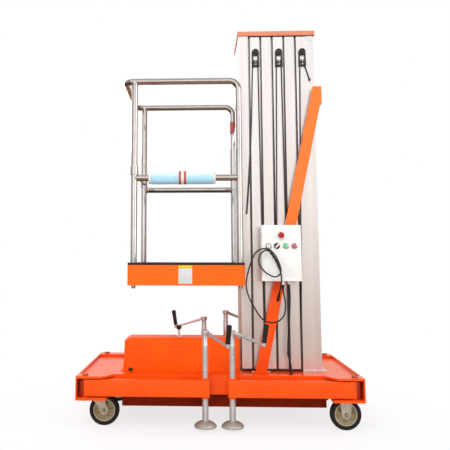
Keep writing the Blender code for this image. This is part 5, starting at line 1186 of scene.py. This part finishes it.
piece("stop_button_mushroom", [control_part(MUSHROOM, *STOP_PLACE)], red_plastic, "base",
      ["emergency_stop"])
piece("stop_button_collar", [control_part(COLLAR, *STOP_PLACE)], black_plastic, "base")
piece("key_switch_ring", [control_part(BEZEL, KEY_X), control_part(KEY_RING, KEY_X)], chromed_tube, "base",
      ["key_switch"])
piece("key_switch_core", [control_part(KEY_CORE, KEY_X)], white_enamel, "base")
slot = rectangle((KEY_X - 0.0009, KEY_X + 0.0009), (CONTROL_Z - 0.0045, CONTROL_Z + 0.0045), 0.0006, 2)
piece("key_switch_slot", [slab(slot, FACE - 0.0104, FACE - 0.0090, 0.0002, "Y")], black_plastic, "base")
piece("selector_bezel", [control_part(BEZEL, SELECTOR_X), control_part(SELECTOR_BASE, SELECTOR_X)],
      black_plastic, "base", ["selector_switch"])
turn_by = np.array([(np.cos(HANDLE_TURN), np.sin(HANDLE_TURN)), (-np.sin(HANDLE_TURN), np.cos(HANDLE_TURN))])
handle = np.array(HANDLE) @ turn_by + np.array((SELECTOR_X, CONTROL_Z))
piece("selector_handle", [slab(handle, FACE - 0.0180, FACE - 0.0070, 0.0010, "Y")], white_enamel, "base")
# the green cap's pale colour is painted glare
for name, x, cap_finish, cap_slot, height in (
        ("green_button", GREEN_X, green_plastic, "green_plastic", 0.0105),
        ("red_button", RED_X, red_lens, "red_plastic", 0.0125)):
    cap = [(0.0, 0.0), (0.0108, 0.0), (0.0108, height - 0.0015), (0.0098, height - 0.0003),
           (0.0050, height), (0.0, height - 0.0004)]
    piece(name + "_cap", [control_part(cap, x)], cap_finish, "base", [name])
    piece(name + "_bezel", [control_part(BEZEL, x)], zinc_plate, "base")

# %% [markdown]
# ## Feed cable
# A second cable leaves the box, runs down beside the brace and goes through the deck in a grommet. A
# black clip holds it near the deck. It is fixed at both ends and does not hang free, so it is no cord,
# and the same smooth curve carries its tube.

# %% Feed cable
FEED_RADIUS, CLIP_RADIUS, CLIP_Z = 0.0045, 0.0068, 0.340
FEED_POINTS = [(*FEED_EXIT, 0.6757), (0.3626, -0.2160, 0.600), (0.3546, -0.2220, 0.470),
               (0.3486, -0.2200, 0.350), (*FEED_EXIT, 0.275), (*FEED_EXIT, 0.228)]
GROMMET = [(0.0046, 0.0), (0.0105, 0.0), (0.0105, 0.0015), (0.0085, 0.0042), (0.0060, 0.0047),
           (0.0046, 0.0037)]
feed_route = smooth_route(FEED_POINTS, 0.010)
piece("feed_cable_sheath", [tube(feed_route, FEED_RADIUS, 14, NEAR_Y)], cable_rubber, "base",
      ["feed_cable"])
clip_at = int(np.argmin(np.abs(feed_route[:, 2] - CLIP_Z)))
clip = tube(feed_route[clip_at - 1:clip_at + 2], CLIP_RADIUS, 20, NEAR_Y)
grommet = turned(lifted(GROMMET, DECK_Z), (*FEED_EXIT, 0.0), "Z", 28, ring=True)
piece("feed_cable_clip", [clip, grommet], black_plastic, "base")

# %% [markdown]
# ## Swing-out arms
# An arm is a rectangular tube, open at the jack's end and rounded off round its pivot. A rolled tube has
# eased edges, so its section is a rounded rectangle, carried along the arm and turned back inside to give
# the wall. The round tail turns between the ears, where it is painted darker as painted shade, so it is a
# piece of its own. The sleeve for the jack goes through both flanges and has a weld ring above and below.

# %% Swing-out arms
ARM_X = (0.044, 0.636)
ARM_HALF = 0.0275
ARM_Z = (0.1575, 0.2360)
ARM_WALL = 0.004
ARM_INSIDE_END = 0.560
EASE = 0.0006
PIVOT_HEIGHTS = (0.1528, 0.2407)
TAIL_THIN, TAIL_GAP = 0.985, 0.0004
BOLT_RADIUS, BOLT_Z = 0.0135, (0.2530, 0.2585)
BUSH = ring_profile(0.0108, 0.0200, *PIVOT_HEIGHTS)
BOLT_WASHER = ring_profile(0.0, 0.0165, 0.2511, 0.2532)
SLEEVE = [(0.0156, 0.1495), (0.0185, 0.1495), (0.0195, 0.1505), (0.0195, 0.2430), (0.0185, 0.2440),
          (0.0156, 0.2440)]
WELD_LOW = [(0.0190, 0.1540), (0.0215, 0.1555), (0.0225, 0.1578), (0.0190, 0.1585)]
WELD_HIGH = [(0.0190, 0.2355), (0.0225, 0.2358), (0.0212, 0.2382), (0.0190, 0.2395)]


def section_inside(wall, radius):
    """The arm's section, drawn in on all sides."""
    return rectangle((wall - ARM_HALF, ARM_HALF - wall), (ARM_Z[0] + wall, ARM_Z[1] - wall), radius, 4)


def arm_tube(sign_x, sign_y):
    """Rings of the section: outside from the pivot to the open end, then inside some way back."""
    outer = section_inside(0.0, 0.0050)
    rim = section_inside(EASE, 0.0045)
    inner = section_inside(ARM_WALL, 0.0025)
    rings = [(ARM_X[1], outer), (ARM_X[0] + EASE, outer), (ARM_X[0], rim), (ARM_X[0], inner),
             (ARM_INSIDE_END, inner)]
    return closed_grid(np.stack([in_space(ring[:, 0] + sign_y * ARM_Y, ring[:, 1], sign_x * x, "X")
                                 for x, ring in rings]))


turn = np.radians(np.linspace(-90, 90, 19))
for corner, (sign_x, sign_y, _, _) in CRANKS.items():
    y = sign_y * ARM_Y
    pivot_x = sign_x * ARM_X[1]
    pivot = (pivot_x, y, 0.0)
    arm = "arm_" + corner
    tail = np.stack([pivot_x + sign_x * ARM_HALF * np.cos(turn), y + ARM_HALF * TAIL_THIN * np.sin(turn)],
                    axis=1)
    shells = [arm_tube(sign_x, sign_y), turned(BUSH, pivot, "Z", 36, ring=True)]
    shells += [turned(ring, (sign_x * JACK_X, y, 0.0), "Z", 36, ring=True)
               for ring in (SLEEVE, WELD_LOW, WELD_HIGH)]
    piece("arm_rolled_tube_" + corner, shells, orange_paint, arm, [arm])
    # painted shade on the tail between the ears
    piece("arm_tail_" + corner, [slab(tail, ARM_Z[0] + TAIL_GAP, ARM_Z[1] - TAIL_GAP, 0.004, "Z", 4)],
          tail_painted_shade, arm)
    bolt = [turned(BOLT_WASHER, pivot, "Z", 32), slab(hexagon(pivot_x, y, BOLT_RADIUS), *BOLT_Z, 0.0010)]
    piece("pivot_bolt_" + corner, bolt, painted_bolt, "base")

# %% [markdown]
# ## Small fittings
# Hex bolts hold the braces' feet and the mast's foot to the deck. A thin plate is riveted to the skirt and
# another to the mast, both left blank, and a scrap of red tape is still wound round the far post.

# %% Small fittings
BRACE_FOOT_Z, MAST_FOOT_Z = 0.2463, 0.2483
DECK_BOLTS = [(0.175, -0.209, BRACE_FOOT_Z), (0.255, -0.209, BRACE_FOOT_Z), (0.175, 0.209, BRACE_FOOT_Z),
              (0.255, 0.209, BRACE_FOOT_Z), (0.536, -0.130, MAST_FOOT_Z), (0.536, 0.130, MAST_FOOT_Z),
              (0.536, 0.0, MAST_FOOT_Z)]
bolts = []
for x, y, z in DECK_BOLTS:
    bolts += [turned(ring_profile(0.0, 0.0062, z, z + 0.0012), (x, y, 0.0), "Z", 24),
              slab(hexagon(x, y, 0.0052), z + 0.0010, z + 0.0048, 0.0005)]
piece("deck_bolts", bolts, zinc_plate, "base")

PLATE_X, PLATE_Z, PLATE_BAND_Z = (-0.1925, -0.1248), (0.6815, 0.7705), 0.7560
SKIRT_PLATE_Y = (-0.3211, -0.3201)
MAST_PLATE_X, MAST_PLATE_Z, MAST_PLATE_Y = (0.4830, 0.5180), (1.9620, 1.9880), (-0.1580, -0.1571)
lower = slab(rectangle(PLATE_X, (PLATE_Z[0], PLATE_BAND_Z - 0.0002), 0.0012), *SKIRT_PLATE_Y, 0.0003, "Y")
band = slab(rectangle(PLATE_X, (PLATE_BAND_Z, PLATE_Z[1]), 0.0012), *SKIRT_PLATE_Y, 0.0003, "Y")
upper = slab(rectangle(MAST_PLATE_X, MAST_PLATE_Z, 0.0015), *MAST_PLATE_Y, 0.0003, "Y")
piece("skirt_plate", [lower], plate_grey, "mast_6")
piece("skirt_plate_band", [band], plate_yellow, "mast_6")
piece("mast_plate", [upper], plate_grey, "base")
TAPE_Z = 1.580
TAPE_TURNS = [(TUBE_RADIUS - 0.0005, -0.036), (TUBE_RADIUS + 0.0009, -0.036), (TUBE_RADIUS + 0.0012, -0.012),
              (TUBE_RADIUS + 0.0006, 0.000), (TUBE_RADIUS + 0.0013, 0.014), (TUBE_RADIUS + 0.0008, 0.036),
              (TUBE_RADIUS - 0.0005, 0.036)]
tape = turned(TAPE_TURNS, (POST_X[1], POST_Y, TAPE_Z), "Z", 40, ring=True)
piece("post_tape", [tape], red_tape, "mast_6")
